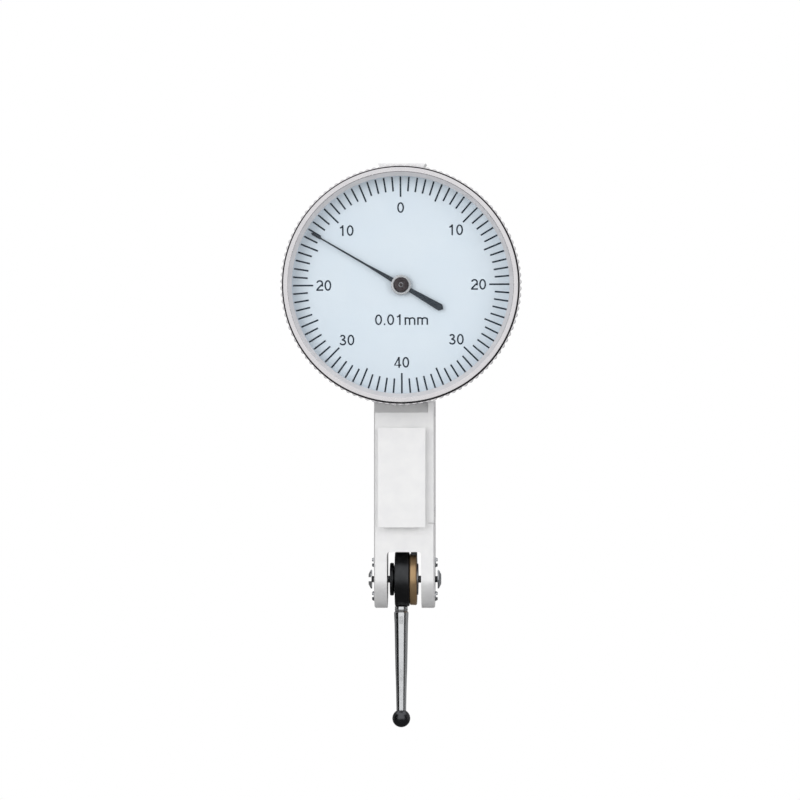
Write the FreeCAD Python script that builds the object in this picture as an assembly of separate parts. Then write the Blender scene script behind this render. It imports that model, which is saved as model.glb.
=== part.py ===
"""Dial test indicator: a lever gauge reading 0.01 mm, 0.8 mm to a turn of its pointer.

Frame: millimetres, +Z up, the dial faces -Y. The origin is the middle of the top dovetail's crown.
The stylus tips a lever, the lever's toothed sector turns a pinion, and a crown wheel on the pinion's
arbor turns the pointer. Rest is the stylus hanging straight down and the lever upright.
"""
import FreeCAD, Part
import math
import os

# ---------------------------------------------------------------- driving dimensions, mm and degrees
fit_gap = 0.02              # radial play of a pivot or a shank in its hole
seat_gap = 0.05             # play round a piece that drops into a seat
face_gap = 0.05             # play between two flat faces that turn on each other
tool_run = 1.00             # how far a cutting shape runs past the piece that it cuts

# standard dovetail, the same on the top, the front and the back
dovetail_width = 6.35       # across the crown
dovetail_height = 1.60
dovetail_slope = 30.0       # of a flank, from the normal of the crown

# gear train: lever sector -> pinion, crown wheel -> pointer pinion
pressure_angle = 20.0
backlash = 0.025            # taken off each tooth's thickness
sector_module = 0.15
sector_count = 512          # teeth that the sector's full circle would have
sector_teeth = 8            # teeth that it has
pinion_count = 12
crown_module = 0.12
crown_count = 48
pointer_count = 14
tooth_addendum = 0.85       # in modules
tooth_dedendum = 1.20       # in modules

# bezel, from the dial's axis
rim_radius = 16.00          # over the coin edge
rim_grooves = 110
rim_groove_depth = 0.19
rim_land_share = 0.40       # of the pitch, between two grooves
rim_width = 3.70
face_step = 0.39            # from the coin edge in to the polished front ring
face_rise = 1.15            # how far the ring stands in front of the coin edge
face_round = 0.16
moat_width = 0.16           # groove between the ring and the coin edge
moat_depth = 0.75
flat_width = 0.59           # of the ring's flat front
bevel_width = 0.56          # from the flat in to the window that the dial is read through
bevel_depth = 0.62
lip_thickness = 0.22
bezel_wall = 0.72           # between the bore and the moat's outer wall
skirt_length = 0.25

# crystal, dial and the rings that hold them, stacked behind the bezel's lip
crystal_thickness = 0.80
spacer_length = 1.55
spacer_wall = 0.30
dial_thickness = 0.40
dial_hole_radius = 1.00
retainer_length = 0.40
retainer_wall = 0.80

# housing: round case, neck and fork
case_step = 0.70            # from the coin edge in to the case
case_wall = 3.30            # between the case and the round hollow in it
case_reach = 5.20           # from the neck's middle plane to the case's front
case_back = 4.60
case_back_chamfer = 0.60
case_back_wall = 1.10
crown_gap = 0.24            # the top dovetail's crown over the coin edge
land_depth = 0.76           # how far the lands beside the top dovetail are cut into the case
land_width = 3.20           # of each land
dovetail_inset = 0.30       # of the top dovetail, from the case's front and back
shoulder_gap = 0.15         # between the bezel's back and the case's shoulder
spigot_wall = 1.15
spigot_length = 1.10
neck_depth = 7.70
neck_left = 3.72            # from the dial's axis to the neck's left side
neck_right = 3.50           # to the face that the side cover is screwed on
neck_edge_chamfer = 0.15
relief_drop = 1.00          # from the bezel's rim down to the foot of the relief under it
relief_length = 1.50
relief_depth = 0.95
front_dovetail_drop = 3.00  # from the bezel's rim down to the neck's dovetails
front_dovetail_foot = 7.00  # their lower ends above the stylus pivot
channel_half_depth = 2.10
channel_wall = 1.20
channel_play = 0.20         # between the sector's rivets and the channel's right wall
channel_sill = 1.15         # between the fork's slot and the lever's channel
cover_thickness = 0.85
cover_gap = 0.10            # between the case and the side cover
cover_foot = 7.60           # the cover's lower end above the stylus pivot
cover_line = 0.06           # joint line under the cover's lower end
cover_edge_chamfer = 0.12
cover_screw_inset = 1.50    # from the cover's ends
cover_screw_edge = 0.88     # from the cover's sides
cover_screw_length = 2.40
fork_slot_left = 2.00       # from the dial's axis to the left prong's inner face
fork_slot_right = 2.57
fork_slot_gap = 0.06        # between the stylus holder and the slot's ceiling
fork_dish = 0.15            # play round the holder in the shallow dish cut in that ceiling
fork_slot_round = 0.40
lever_slot_half = 1.60
lever_slot_gap = 0.20       # on each side of the lever arm

# screws, pins and jewels: shank, head
small_sides = 12            # of the bars that stand for screws, pins and holes too small to be round
slot_spin = 30.0            # degrees between the slots of neighbouring movement screws
small_shank = 0.40
small_head = 0.75
small_head_height = 0.38
small_slot_width = 0.20
small_slot_depth = 0.16
lock_shank = 0.28
lock_head = 0.66
lock_head_height = 0.35
lock_slot_width = 0.30
lock_slot_depth = 0.22
lock_offset = 2.25          # above and below the stylus pivot
lock_depth = 1.00
pivot_screw_head = 1.28
pivot_screw_head_height = 0.46
pivot_screw_neck = 0.42
pivot_screw_neck_length = 0.36
pivot_screw_shank = 0.75
pivot_screw_nose = 0.47
pivot_screw_slot = 0.55
point_depth = 0.36          # of the 60 degree points that carry the axle
point_radius = 0.36
plate_screw_depth = 1.50    # that a movement plate screw goes into the case

# lever, from the stylus pivot
barrel_left = 1.00          # from the dial's axis to the holder's left face
barrel_right = 0.94
barrel_radius = 3.63
barrel_edge = 0.10
axle_radius = 0.60
axle_flange_radius = 2.10
axle_flange = 0.17
hub_radius = 3.47
hub_thickness = 0.95
hub_edge = 0.12
nut_radius = 2.20
nut_thickness = 0.52
nut_flat = 0.25             # depth of the two spanner flats
washer_radius = 1.90
washer_thickness = 0.09
washer_gap = 0.15           # between the nut and the holder
arm_thickness = 0.80
arm_foot = 1.25             # height of the arm's lower end above the pivot
arm_foot_half = 1.20
arm_top_half = 0.80
arm_drop = 3.80             # from the sector's pitch circle to the arm's upper end
sector_thickness = 0.40
sector_reach = 10.20        # from the pitch circle down to the sector's foot
sector_stem_half = 0.75
sector_shoulder_drop = 2.20 # from the pitch circle to where the stem flares out to the teeth
sector_margin = 0.15        # beside the outermost teeth
rivet_radius = 0.34
rivet_head = 0.55
rivet_head_height = 0.18
rivet_inset = 1.30          # from the sector's foot and the arm's end
lever_swing = 1.50          # degrees to each side
stop_pin_radius = 0.25
stop_pin_drop = 13.60       # from the sector's pitch circle
stop_pin_clearance = 0.03
stop_pin_sunk = 0.75        # in the neck's left wall

# stylus, lengths from the stylus pivot
stylus_x = -0.17
stylus_thread = 0.55
stylus_thread_top = 1.90
stylus_collar = 0.86
stylus_collar_length = 0.45
stylus_shoulder = 0.98
stylus_shoulder_drop = 0.28
stylus_body = 0.89
stylus_body_drop = 2.10
stylus_tip_radius = 0.65
ball_radius = 1.20
tip_travel_per_turn = 0.80  # of the ball, for one turn of the pointer

# movement
plate_thickness = 0.80
plate_screw_inset = 0.75    # from the plate's edge
plate_screw_count = 3
jewel_radius = 0.62
rear_jewel_radius = 0.46
pointer_arbor_radius = 0.25
pointer_pinion_width = 0.80
crown_arbor_radius = 0.30
crown_face = 0.50           # length of the crown teeth, along the wheel's radius
crown_tooth_inset = 0.02    # of the teeth's ends, from the rim's edges
crown_rim = 0.46            # thickness behind the teeth
crown_web = 0.30
crown_spokes = 4
crown_spoke_half = 0.30
crown_collet_radius = 0.75
crown_collet_length = 0.50
pinion_width = 1.00
pinion_gap = 0.15           # between the crown wheel's back and the pinion
arbor_shoulder = 0.80       # between the pinion and the right cock
cock_thickness = 0.80
cock_half_height = 1.60
cock_front = 1.15           # in front of the crown arbor's axis
cock_foot_length = 3.10
cock_foot_thickness = 0.80
cock_screw_depth = 0.70
arm_bridge_front = 1.80     # the left cock's arm, in front of the crown arbor's axis
arm_bridge_back = 1.00
arm_bridge_half = 0.72
arm_bridge_reach = 0.60
collet_radius = 0.60
collet_length = 0.50
hairspring_turns = 4
hairspring_pitch = 0.46
hairspring_strip = 0.06
hairspring_height = 0.30
hairspring_drop = 0.70      # from the movement plate's back to the spring's middle plane
stud_radius = 0.28
spring_wire = 0.30
spring_wire_gap = 20.0      # degrees left open in the bezel's spring ring
spring_wire_play = 0.05

# pointer, radii from the dial's axis
pointer_angle = 60.0        # degrees anticlockwise from straight up, seen from the front
pointer_above_dial = 0.50
pointer_thickness = 0.15
pointer_tip_gap = 0.60      # between the tip and the window's edge
pointer_tip_point = 0.25
pointer_blade = 1.15        # length of the wide end
pointer_blade_half = 0.18
pointer_neck = 0.25         # from the blade down to the thin needle
pointer_needle_half = 0.10
pointer_waist = 5.10        # where the needle starts to widen towards the bush
pointer_waist_half = 0.14
pointer_root_half = 0.33
pointer_tail = 6.05
pointer_tail_half = 0.49
pointer_tail_root_half = 0.26
pointer_tail_point = 0.46
bush_radius = 0.50
bush_flange = 1.34
bush_flange_thickness = 0.14
cap_radius = 1.03
cap_height = 0.45
cap_round = 0.12
cap_bore = 0.30

# ---------------------------------------------------------------- places worked out from the sizes
face_radius = rim_radius - face_step
flat_radius = face_radius - flat_width
window_radius = flat_radius - bevel_width
case_radius = rim_radius - case_step
case_cavity_radius = case_radius - case_wall
crown_rise = rim_radius + crown_gap
dial_z = -crown_rise
centre_distance = sector_module * (sector_count + pinion_count) / 2
pivot_z = dial_z - centre_distance
sector_radius = sector_module * sector_count / 2
crown_radius = crown_module * crown_count / 2
pointer_pinion_radius = crown_module * pointer_count / 2
train_ratio = sector_count / pinion_count * crown_count / pointer_count
stylus_length = tip_travel_per_turn * train_ratio / (2 * math.pi)

fork_slot_top = barrel_radius + fork_slot_gap
channel_floor = fork_slot_top + channel_sill
sector_foot = sector_radius - sector_reach
sector_shoulder = sector_radius - sector_shoulder_drop
arm_top = sector_radius - arm_drop
rivet_heights = (sector_foot + rivet_inset, arm_top - rivet_inset)
stop_pin_height = sector_radius - stop_pin_drop
stylus_collar_end = barrel_radius + stylus_collar_length
stylus_shoulder_end = stylus_collar_end + stylus_shoulder_drop
stylus_body_end = stylus_shoulder_end + stylus_body_drop
ball_seat = math.sqrt(ball_radius**2 - stylus_tip_radius**2)      # from the ball's middle to the rod's end

neck_half = neck_depth / 2
neck_front, neck_back = -neck_half, neck_half
neck_far_right = neck_right + cover_thickness
cover_high = dial_z - case_radius - cover_gap
cover_low = pivot_z + cover_foot
cover_screw_side = neck_half - cover_screw_edge
relief_low = dial_z - rim_radius - relief_drop
front_dovetail_high = dial_z - rim_radius - front_dovetail_drop
front_dovetail_low = pivot_z + front_dovetail_foot
dovetail_half = dovetail_width / 2
dovetail_foot_half = dovetail_half - dovetail_height * math.tan(math.radians(dovetail_slope))

bore_radius = face_radius + moat_width - bezel_wall       # of the bezel
stack_radius = bore_radius - seat_gap                     # crystal, dial and rings inside it
spigot_radius = bore_radius - seat_gap
plate_seat_radius = spigot_radius - spigot_wall
plate_radius = plate_seat_radius - seat_gap
cavity_back = case_back - case_back_wall
case_front = -case_reach
top_land = crown_rise - case_radius + land_depth
bezel_back = case_front - shoulder_gap
rim_back = bezel_back - skirt_length
rim_front = rim_back - rim_width
face_front = rim_front - face_rise
lip_front = face_front + bevel_depth
crystal_front = lip_front + lip_thickness
crystal_back = crystal_front + crystal_thickness
spacer_back = crystal_back + spacer_length
dial_front = spacer_back
dial_back = dial_front + dial_thickness
retainer_back = dial_back + retainer_length
spigot_front = case_front - spigot_length
plate_front = spigot_front + seat_gap
plate_back = plate_front + plate_thickness
spring_y = (case_front + spigot_front) / 2
pointer_back = dial_front - pointer_above_dial
pointer_front = pointer_back - pointer_thickness
bush_front = pointer_front - bush_flange_thickness
cap_front = bush_front - cap_height
hairspring_y = plate_back + hairspring_drop
crown_pitch_x = pointer_pinion_radius                     # plane of the crown teeth's pitch line
crown_root_x = crown_pitch_x + tooth_dedendum * crown_module
crown_tip_x = crown_pitch_x - tooth_addendum * crown_module
crown_back_x = crown_root_x + crown_rim
pinion_left = crown_back_x + pinion_gap
cock_distance = pinion_left + pinion_width + arbor_shoulder
pointer_tip = window_radius - pointer_tip_gap
hub_left = barrel_right + face_gap
hub_right = hub_left + hub_thickness
arm_left = hub_right - arm_thickness
nut_right = -barrel_left - washer_gap
nut_left = nut_right - nut_thickness
flange_right = hub_right + axle_flange
arm_half_at_stop = arm_foot_half + (arm_top_half - arm_foot_half) * (
    (stop_pin_height - arm_foot) / (arm_top - arm_foot)
)
stop_pin_y = (
    arm_half_at_stop
    + stop_pin_height * math.tan(math.radians(lever_swing))
    + stop_pin_radius
    + stop_pin_clearance
)

V = FreeCAD.Vector
X, Y, Z = V(1, 0, 0), V(0, 1, 0), V(0, 0, 1)
DIAL_AXIS = V(0, 0, dial_z)


# ---------------------------------------------------------------- helpers
def rod_x(radius, left, right, y=0.0, z=pivot_z):
    """A cylinder along X."""
    return Part.makeCylinder(radius, right - left, V(left, y, z), X)


def rod_y(radius, front, back, x=0.0, z=dial_z):
    """A cylinder along Y."""
    return Part.makeCylinder(radius, back - front, V(x, front, z), Y)


def pin(radius, start, along):
    """A many-sided bar on a start point, for small screws, pins and their holes."""
    turn = FreeCAD.Rotation(Z, along)
    step = 2 * math.pi / small_sides
    corners = [
        start + turn.multVec(V(radius * math.cos(k * step), radius * math.sin(k * step), 0))
        for k in range(small_sides)
    ]
    return prism(corners, along)


def pin_x(radius, left, right, y=0.0, z=pivot_z):
    """A small bar along X."""
    return pin(radius, V(left, y, z), X * (right - left))


def pin_y(radius, front, back, x=0.0, z=dial_z):
    """A small bar along Y."""
    return pin(radius, V(x, front, z), Y * (back - front))


def tube_y(outer, inner, front, back, x=0.0, z=dial_z):
    """A tube along Y."""
    return rod_y(outer, front, back, x, z).cut(rod_y(inner, front - tool_run, back + tool_run, x, z))


def tube_x(outer, inner, left, right, y=0.0, z=pivot_z):
    """A tube along X."""
    return rod_x(outer, left, right, y, z).cut(rod_x(inner, left - tool_run, right + tool_run, y, z))


def block(left, right, front, back, low, high):
    """A box between two corners."""
    return Part.makeBox(right - left, back - front, high - low, V(left, front, low))


def prism(points, along):
    """A closed polygon pushed along a vector."""
    return Part.Face(Part.makePolygon([*points, points[0]])).extrude(along)


def revolve(points, centre, axis, radial):
    """Turns a profile of (radius, height along the axis) round an axis."""
    profile = [centre + radial * r + axis * h for r, h in points]
    return Part.Face(Part.makePolygon([*profile, profile[0]])).revolve(centre, axis, 360)


def revolve_y(points):
    """Turns a profile of (radius, y) round the dial's axis."""
    return revolve(points, DIAL_AXIS, Y, X)


def arc(a, b, c):
    """The circular edge through three points."""
    return Part.Arc(a, b, c).toShape()


def line(a, b):
    """The straight edge between two points."""
    return Part.LineSegment(a, b).toShape()


def polar_y(radius, angle, y=0.0):
    """A point round the dial's axis; the angle runs clockwise from straight up, in radians."""
    return V(radius * math.sin(angle), y, dial_z + radius * math.cos(angle))


def turned(shape, degrees, centre=DIAL_AXIS, axis=Y):
    """A copy turned about an axis."""
    copy = shape.copy()
    copy.rotate(centre, axis, degrees)
    return copy


def fused(shapes):
    """One solid from shapes that meet."""
    return shapes[0].multiFuse(shapes[1:]).removeSplitter()


def involute(angle):
    """The involute function."""
    return math.tan(angle) - angle


def flank_half_angle(module, count, radius):
    """Half of a tooth's angular thickness at a radius, held at the base circle's value below it."""
    pitch = module * count / 2
    alpha = math.radians(pressure_angle)
    base = pitch * math.cos(alpha)
    half = math.pi / (2 * count) - backlash / (2 * pitch)
    local = math.acos(min(1.0, base / max(radius, base)))
    return half + involute(alpha) - involute(local)


def tooth_edges(module, count, centre_angle, point):
    """One tooth as edges: flank up, land, flank down. point(radius, angle) gives places."""
    pitch = module * count / 2
    root = pitch - tooth_dedendum * module
    tip = pitch + tooth_addendum * module
    base = pitch * math.cos(math.radians(pressure_angle))
    low = max(root, base)
    middle = (low + tip) / 2
    at = lambda radius, side: point(radius, centre_angle + side * flank_half_angle(module, count, radius))
    edges = []
    if low > root:
        edges.append(line(at(root, -1), at(low, -1)))
    edges.append(arc(at(low, -1), at(middle, -1), at(tip, -1)))
    edges.append(line(at(tip, -1), at(tip, 1)))
    edges.append(arc(at(tip, 1), at(middle, 1), at(low, 1)))
    if low > root:
        edges.append(line(at(low, 1), at(root, 1)))
    return edges


def spur_wheel(module, count, point, along, first=0.0):
    """A whole toothed wheel, pushed along a vector. A tooth is centred on the angle first."""
    root = module * count / 2 - tooth_dedendum * module
    half = flank_half_angle(module, count, root)
    pitch = 2 * math.pi / count
    edges = []
    for k in range(count):
        angle = first + k * pitch
        edges += tooth_edges(module, count, angle, point)
        edges.append(line(point(root, angle + half), point(root, angle + pitch - half)))
    return Part.Face(Part.Wire(edges)).extrude(along)


def dovetail(foot, crown, across, start, end):
    """A bar of dovetail section. foot and crown are points on its middle line, across its width."""
    foot_sink = (foot - crown).normalize() * seat_gap
    points = [
        foot + foot_sink - across * dovetail_foot_half,
        foot - across * dovetail_foot_half,
        crown - across * dovetail_half,
        crown + across * dovetail_half,
        foot + across * dovetail_foot_half,
        foot + foot_sink + across * dovetail_foot_half,
    ]
    return prism([p + start for p in points], end - start)


def slot_across(width, depth, height, reach):
    """The slot in a screw head that stands on the origin, its top at the height."""
    return block(-reach, reach, -width / 2, width / 2, height - depth, height + depth)


def placed(shape, position, axis, spin=0.0):
    """A shape made on the origin along +Z, set at a place with its +Z along an axis."""
    copy = shape.copy()
    copy.rotate(V(0, 0, 0), Z, spin)
    turn = FreeCAD.Rotation(Z, axis)
    copy.Placement = FreeCAD.Placement(position, turn).multiply(copy.Placement)
    return copy


def small_screw(shank_length):
    """A cheese-head movement screw, its head's underside on the origin."""
    head = pin(small_head, V(0, 0, 0), Z * small_head_height)
    slot = slot_across(small_slot_width, small_slot_depth, small_head_height, small_head)
    shank = pin(small_shank, V(0, 0, -shank_length), Z * shank_length)
    return fused([head.cut(slot), shank])


# ---------------------------------------------------------------- bezel, crystal and dial
def bezel():
    """The turning rim: polished front ring, moat, coin edge, and a groove for its spring ring."""
    moat_outer = face_radius + moat_width
    groove_half = spring_wire / 2 + spring_wire_play
    groove_radius = bore_radius + spring_wire / 2 + spring_wire_play
    rim_blank = rim_radius + rim_groove_depth
    profile = [
        (flat_radius, face_front),
        (face_radius - face_round, face_front),
        (face_radius, face_front + face_round),
        (face_radius, rim_front + moat_depth),
        (moat_outer, rim_front + moat_depth),
        (moat_outer, rim_front),
        (rim_blank, rim_front),
        (rim_blank, rim_back),
        (case_radius, rim_back),
        (case_radius, bezel_back),
        (bore_radius, bezel_back),
        (bore_radius, spring_y + groove_half),
        (groove_radius, spring_y + groove_half),
        (groove_radius, spring_y - groove_half),
        (bore_radius, spring_y - groove_half),
        (bore_radius, crystal_front),
        (window_radius, crystal_front),
        (window_radius, lip_front),
    ]
    return revolve_y(profile).common(coin_edge())


def coin_edge():
    """A prism whose outline is a circle cut by straight-sided grooves."""
    pitch = 2 * math.pi / rim_grooves
    half_land = pitch * rim_land_share / 2
    start = face_front - face_rise
    outline = []
    for k in range(rim_grooves):
        outline.append(polar_y(rim_radius, k * pitch - half_land, start))
        outline.append(polar_y(rim_radius, k * pitch + half_land, start))
        outline.append(polar_y(rim_radius - rim_groove_depth, (k + 0.5) * pitch, start))
    return prism(outline, V(0, bezel_back + face_rise - start, 0))


def crystal():
    """The flat clear cover, with its front edge bevelled."""
    edge = seat_gap * 2
    return revolve_y(
        [
            (0, crystal_front),
            (stack_radius - edge, crystal_front),
            (stack_radius, crystal_front + edge),
            (stack_radius, crystal_back),
            (0, crystal_back),
        ]
    )


def spacer_ring():
    """Keeps the dial away from the crystal."""
    return tube_y(stack_radius, stack_radius - spacer_wall, crystal_back, spacer_back)


def dial():
    """The printed plate, turned by the bezel to set zero."""
    return tube_y(stack_radius, dial_hole_radius, dial_front, dial_back)


def dial_retainer():
    """The snap ring behind the dial."""
    return tube_y(stack_radius, stack_radius - retainer_wall, dial_back, retainer_back)


def bezel_spring():
    """The open wire ring that holds the bezel on the housing and gives it drag."""
    ring = tube_y(
        bore_radius + spring_wire / 2,
        bore_radius - spring_wire / 2,
        spring_y - spring_wire / 2,
        spring_y + spring_wire / 2,
    )
    half = math.radians(spring_wire_gap / 2)
    start = spring_y - spring_wire
    reach = 2 * bore_radius
    corners = [polar_y(0, 0, start), polar_y(reach, -half, start), polar_y(reach, half, start)]
    wedge = prism(corners, Y * 2 * spring_wire)
    return ring.cut(wedge)


# ---------------------------------------------------------------- housing
def housing():
    """Round case, neck, fork and the three dovetails, machined from one piece."""
    body = fused([case_drum(), neck(), fork(), front_dovetail(), back_dovetail(), top_dovetail()])
    hollows = [
        rod_y(case_cavity_radius, plate_back, cavity_back),
        rod_y(plate_seat_radius, spigot_front - plate_thickness, plate_back),
        channel(),
        lever_slot(),
        relief(),
        fork_slot(),
        rod_x(barrel_radius + fork_dish, -fork_slot_left, fork_slot_right),
        spring_groove(),
        rod_x(pivot_screw_shank + fit_gap, -neck_left - cover_thickness, neck_far_right + cover_thickness),
    ]
    return body.cut([*hollows, *small_holes()]).removeSplitter()


def small_holes():
    """The housing's holes for screws and stop pins."""
    radius = small_shank + fit_gap
    tip = neck_far_right - cover_screw_length - seat_gap
    holes = [pin_x(radius, tip, neck_far_right, y, z) for y, z in cover_screw_places()]
    end = plate_back + plate_screw_depth + seat_gap
    holes += [pin_y(radius, plate_front, end, p.x, p.z) for p in plate_screw_places()]
    pin_end = -neck_left + channel_wall - stop_pin_sunk
    for side in (-1, 1):
        end = cavity_back + cock_screw_depth
        holes.append(pin_y(radius, cavity_back - cock_screw_depth, end, side * cock_screw_x()))
        holes.append(
            pin_x(stop_pin_radius + fit_gap, pin_end, 0.0, side * stop_pin_y, pivot_z + stop_pin_height)
        )
        for face in (-neck_left, neck_far_right):
            left, right = face - lock_depth, face + lock_depth
            holes.append(pin_x(lock_shank + fit_gap, left, right, 0.0, pivot_z + side * lock_offset))
    return holes


def case_drum():
    """The round case and the spigot that the bezel turns on, solid, with lands beside the dovetail."""
    drum = revolve_y(
        [
            (0, spigot_front),
            (spigot_radius, spigot_front),
            (spigot_radius, case_front),
            (case_radius, case_front),
            (case_radius, case_back - case_back_chamfer),
            (case_radius - case_back_chamfer, case_back),
            (0, case_back),
        ]
    )
    reach = dovetail_half + land_width
    lands = block(-reach, reach, case_front, case_back + tool_run, -top_land, crown_rise)
    return drum.cut(lands)


def neck_bar(right, chamfer, low, high):
    """An upright bar of the neck's section, its left corners bevelled and its right ones by the chamfer."""
    c = neck_edge_chamfer
    corners = [
        (-neck_left + c, neck_front),
        (right - chamfer, neck_front),
        (right, neck_front + chamfer),
        (right, neck_back - chamfer),
        (right - chamfer, neck_back),
        (-neck_left + c, neck_back),
        (-neck_left, neck_back - c),
        (-neck_left, neck_front + c),
    ]
    distinct = [p for k, p in enumerate(corners) if p != corners[k - 1]]
    return prism([V(x, y, low) for x, y in distinct], V(0, 0, high - low))


def neck():
    """The narrow part of the neck, which the side cover closes."""
    return neck_bar(neck_right, 0.0, cover_low - cover_line, dial_z - case_cavity_radius)


def fork():
    """The full-width lower neck, its end round about the stylus pivot, bevelled all along its edges."""
    c = neck_edge_chamfer
    bar = neck_bar(neck_far_right, c, pivot_z, cover_low - cover_line)
    end = revolve(
        [
            (0, -neck_left),
            (neck_half - c, -neck_left),
            (neck_half, -neck_left + c),
            (neck_half, neck_far_right - c),
            (neck_half - c, neck_far_right),
            (0, neck_far_right),
        ],
        V(0, 0, pivot_z),
        X,
        Z,
    )
    return fused([bar, end])


def front_dovetail():
    """Upright dovetail on the neck's front."""
    foot, crown = V(0, neck_front, 0), V(0, neck_front - dovetail_height, 0)
    return dovetail(foot, crown, X, V(0, 0, front_dovetail_low), V(0, 0, front_dovetail_high))


def back_dovetail():
    """The same dovetail on the neck's back."""
    foot, crown = V(0, neck_back, 0), V(0, neck_back + dovetail_height, 0)
    return dovetail(foot, crown, X, V(0, 0, front_dovetail_low), V(0, 0, front_dovetail_high))


def top_dovetail():
    """The dovetail on top of the case, running from front to back."""
    start = V(0, case_front + dovetail_inset, 0)
    end = V(0, case_back - dovetail_inset, 0)
    bar = dovetail(V(0, 0, -dovetail_height), V(0, 0, 0), X, start, end)
    root = block(
        -dovetail_foot_half,
        dovetail_foot_half,
        start.y,
        end.y,
        -top_land - seat_gap,
        -dovetail_height,
    )
    return fused([bar, root])


def channel():
    """The lever's way up the neck, open on the right under the side cover."""
    left = -neck_left + channel_wall
    right = hub_right + sector_thickness + rivet_head_height + channel_play
    half = channel_half_depth
    inner = block(left, right, -half, half, pivot_z + channel_floor, dial_z - case_cavity_radius / 2)
    low, high = cover_low + channel_wall, cover_high - channel_wall
    side = block(left, neck_right + tool_run, -half, half, low, high)
    return inner.fuse(side)


def lever_slot():
    """The narrow way for the lever between the fork and the channel."""
    left, right = arm_left - lever_slot_gap, hub_right + lever_slot_gap
    low, high = fork_slot_top - channel_sill, channel_floor + channel_sill
    return block(left, right, -lever_slot_half, lever_slot_half, pivot_z + low, pivot_z + high)


def relief():
    """The slope cut in the neck's front, which leaves room for the bezel to be gripped."""
    low = relief_low
    high = low + relief_length
    return prism(
        [
            V(-neck_left - tool_run, neck_front, low),
            V(-neck_left - tool_run, neck_front - tool_run, low),
            V(-neck_left - tool_run, neck_front - tool_run, high),
            V(-neck_left - tool_run, neck_front + relief_depth, high),
        ],
        V(neck_left + neck_far_right + 2 * tool_run, 0, 0),
    )


def fork_slot():
    """The gap between the prongs, with round upper corners."""
    top = pivot_z + fork_slot_top
    low = pivot_z - neck_half - tool_run
    left, right, r = -fork_slot_left, fork_slot_right, fork_slot_round
    k = r * (1 - math.sqrt(0.5))
    front = neck_front - tool_run
    edges = [
        line(V(left, front, low), V(left, front, top - r)),
        arc(V(left, front, top - r), V(left + k, front, top - k), V(left + r, front, top)),
        line(V(left + r, front, top), V(right - r, front, top)),
        arc(V(right - r, front, top), V(right - k, front, top - k), V(right, front, top - r)),
        line(V(right, front, top - r), V(right, front, low)),
        line(V(right, front, low), V(left, front, low)),
    ]
    return Part.Face(Part.Wire(edges)).extrude(Y * (neck_depth + 2 * tool_run))


def spring_groove():
    """The groove in the spigot for the bezel's spring ring."""
    half = spring_wire / 2 + spring_wire_play
    return tube_y(
        rim_radius,
        bore_radius - spring_wire / 2 - spring_wire_play,
        spring_y - half,
        spring_y + half,
    )


def cover_screw_places():
    """(y, z) of the side cover's four screws."""
    heights = (cover_high - cover_screw_inset, cover_low + cover_screw_inset)
    return [(side * cover_screw_side, z) for z in heights for side in (-1, 1)]


def side_cover():
    """The flat plate that closes the neck's right side, countersunk for its screws."""
    c = cover_edge_chamfer
    far = neck_far_right
    points = [
        (neck_right, neck_front),
        (far - c, neck_front),
        (far, neck_front + c),
        (far, neck_back - c),
        (far - c, neck_back),
        (neck_right, neck_back),
    ]
    plate = prism([V(x, y, cover_low) for x, y in points], V(0, 0, cover_high - cover_low))
    for y, z in cover_screw_places():
        hole = pin_x(small_shank + fit_gap, neck_right - cover_thickness, far, y, z)
        plate = plate.cut([hole, countersink(y, z, seat_gap / 2)])
    return plate


def countersink(y, z, play):
    """The 90 degree taper of a flush screw head in the side cover, widened by the play."""
    depth = small_head - small_shank
    start = V(neck_far_right - depth, y, z)
    narrow = pin(small_shank + play, start, X * depth).Faces
    wide = pin(small_head + play, start + X * depth, X * depth).Faces
    ends = [min(faces, key=lambda f: f.CenterOfMass.x) for faces in (narrow, wide)]
    return Part.makeLoft([f.OuterWire for f in ends], True, True)


def cover_screws():
    """Four countersunk screws, heads flush with the side cover."""
    screws = []
    for y, z in cover_screw_places():
        tip = neck_far_right - cover_screw_length
        shank = pin_x(small_shank, tip, neck_far_right - small_slot_depth, y, z)
        slot = placed(
            slot_across(small_slot_width, small_slot_depth, 0.0, small_head), V(neck_far_right, y, z), X
        )
        screws.append(fused([shank, countersink(y, z, 0.0)]).cut(slot))
    return Part.makeCompound(screws)


def pivot_screw(side):
    """A screw through one prong: domed slotted head, thread, and a nose with a 60 degree point.

    side is -1 for the left prong and 1 for the right. The axle's end lies at the point's shoulder.
    """
    outer = neck_left if side < 0 else neck_far_right
    inner = fork_slot_left if side < 0 else fork_slot_right
    shoulder = -nut_left if side < 0 else flange_right
    head_base = outer + pivot_screw_neck_length
    head_top = head_base + pivot_screw_head_height
    rim = head_base + pivot_screw_head_height / 3
    body = revolve(
        [
            (0, shoulder - point_depth + fit_gap),
            (point_radius - fit_gap, shoulder + fit_gap),
            (pivot_screw_nose, shoulder + fit_gap),
            (pivot_screw_nose, inner),
            (pivot_screw_shank, inner),
            (pivot_screw_shank, outer),
            (pivot_screw_neck, outer),
            (pivot_screw_neck, head_base),
            (pivot_screw_head, head_base),
            (pivot_screw_head, rim),
            (pivot_screw_head * 0.55, head_top),
            (0, head_top),
        ],
        V(0, 0, pivot_z),
        X * side,
        Z,
    )
    half = pivot_screw_slot / 2
    reach = 2 * pivot_screw_head
    near, far = sorted((side * (head_base + fit_gap), side * (head_top + tool_run)))
    if side < 0:
        slot = block(near, far, -reach, reach, pivot_z - half, pivot_z + half)
    else:
        slot = block(near, far, -half, half, pivot_z - reach, pivot_z + reach)
    keep = rod_x(pivot_screw_neck, *sorted((side * (head_base - fit_gap), side * (head_base + fit_gap * 4))))
    return body.cut(slot).fuse(keep).removeSplitter()


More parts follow.
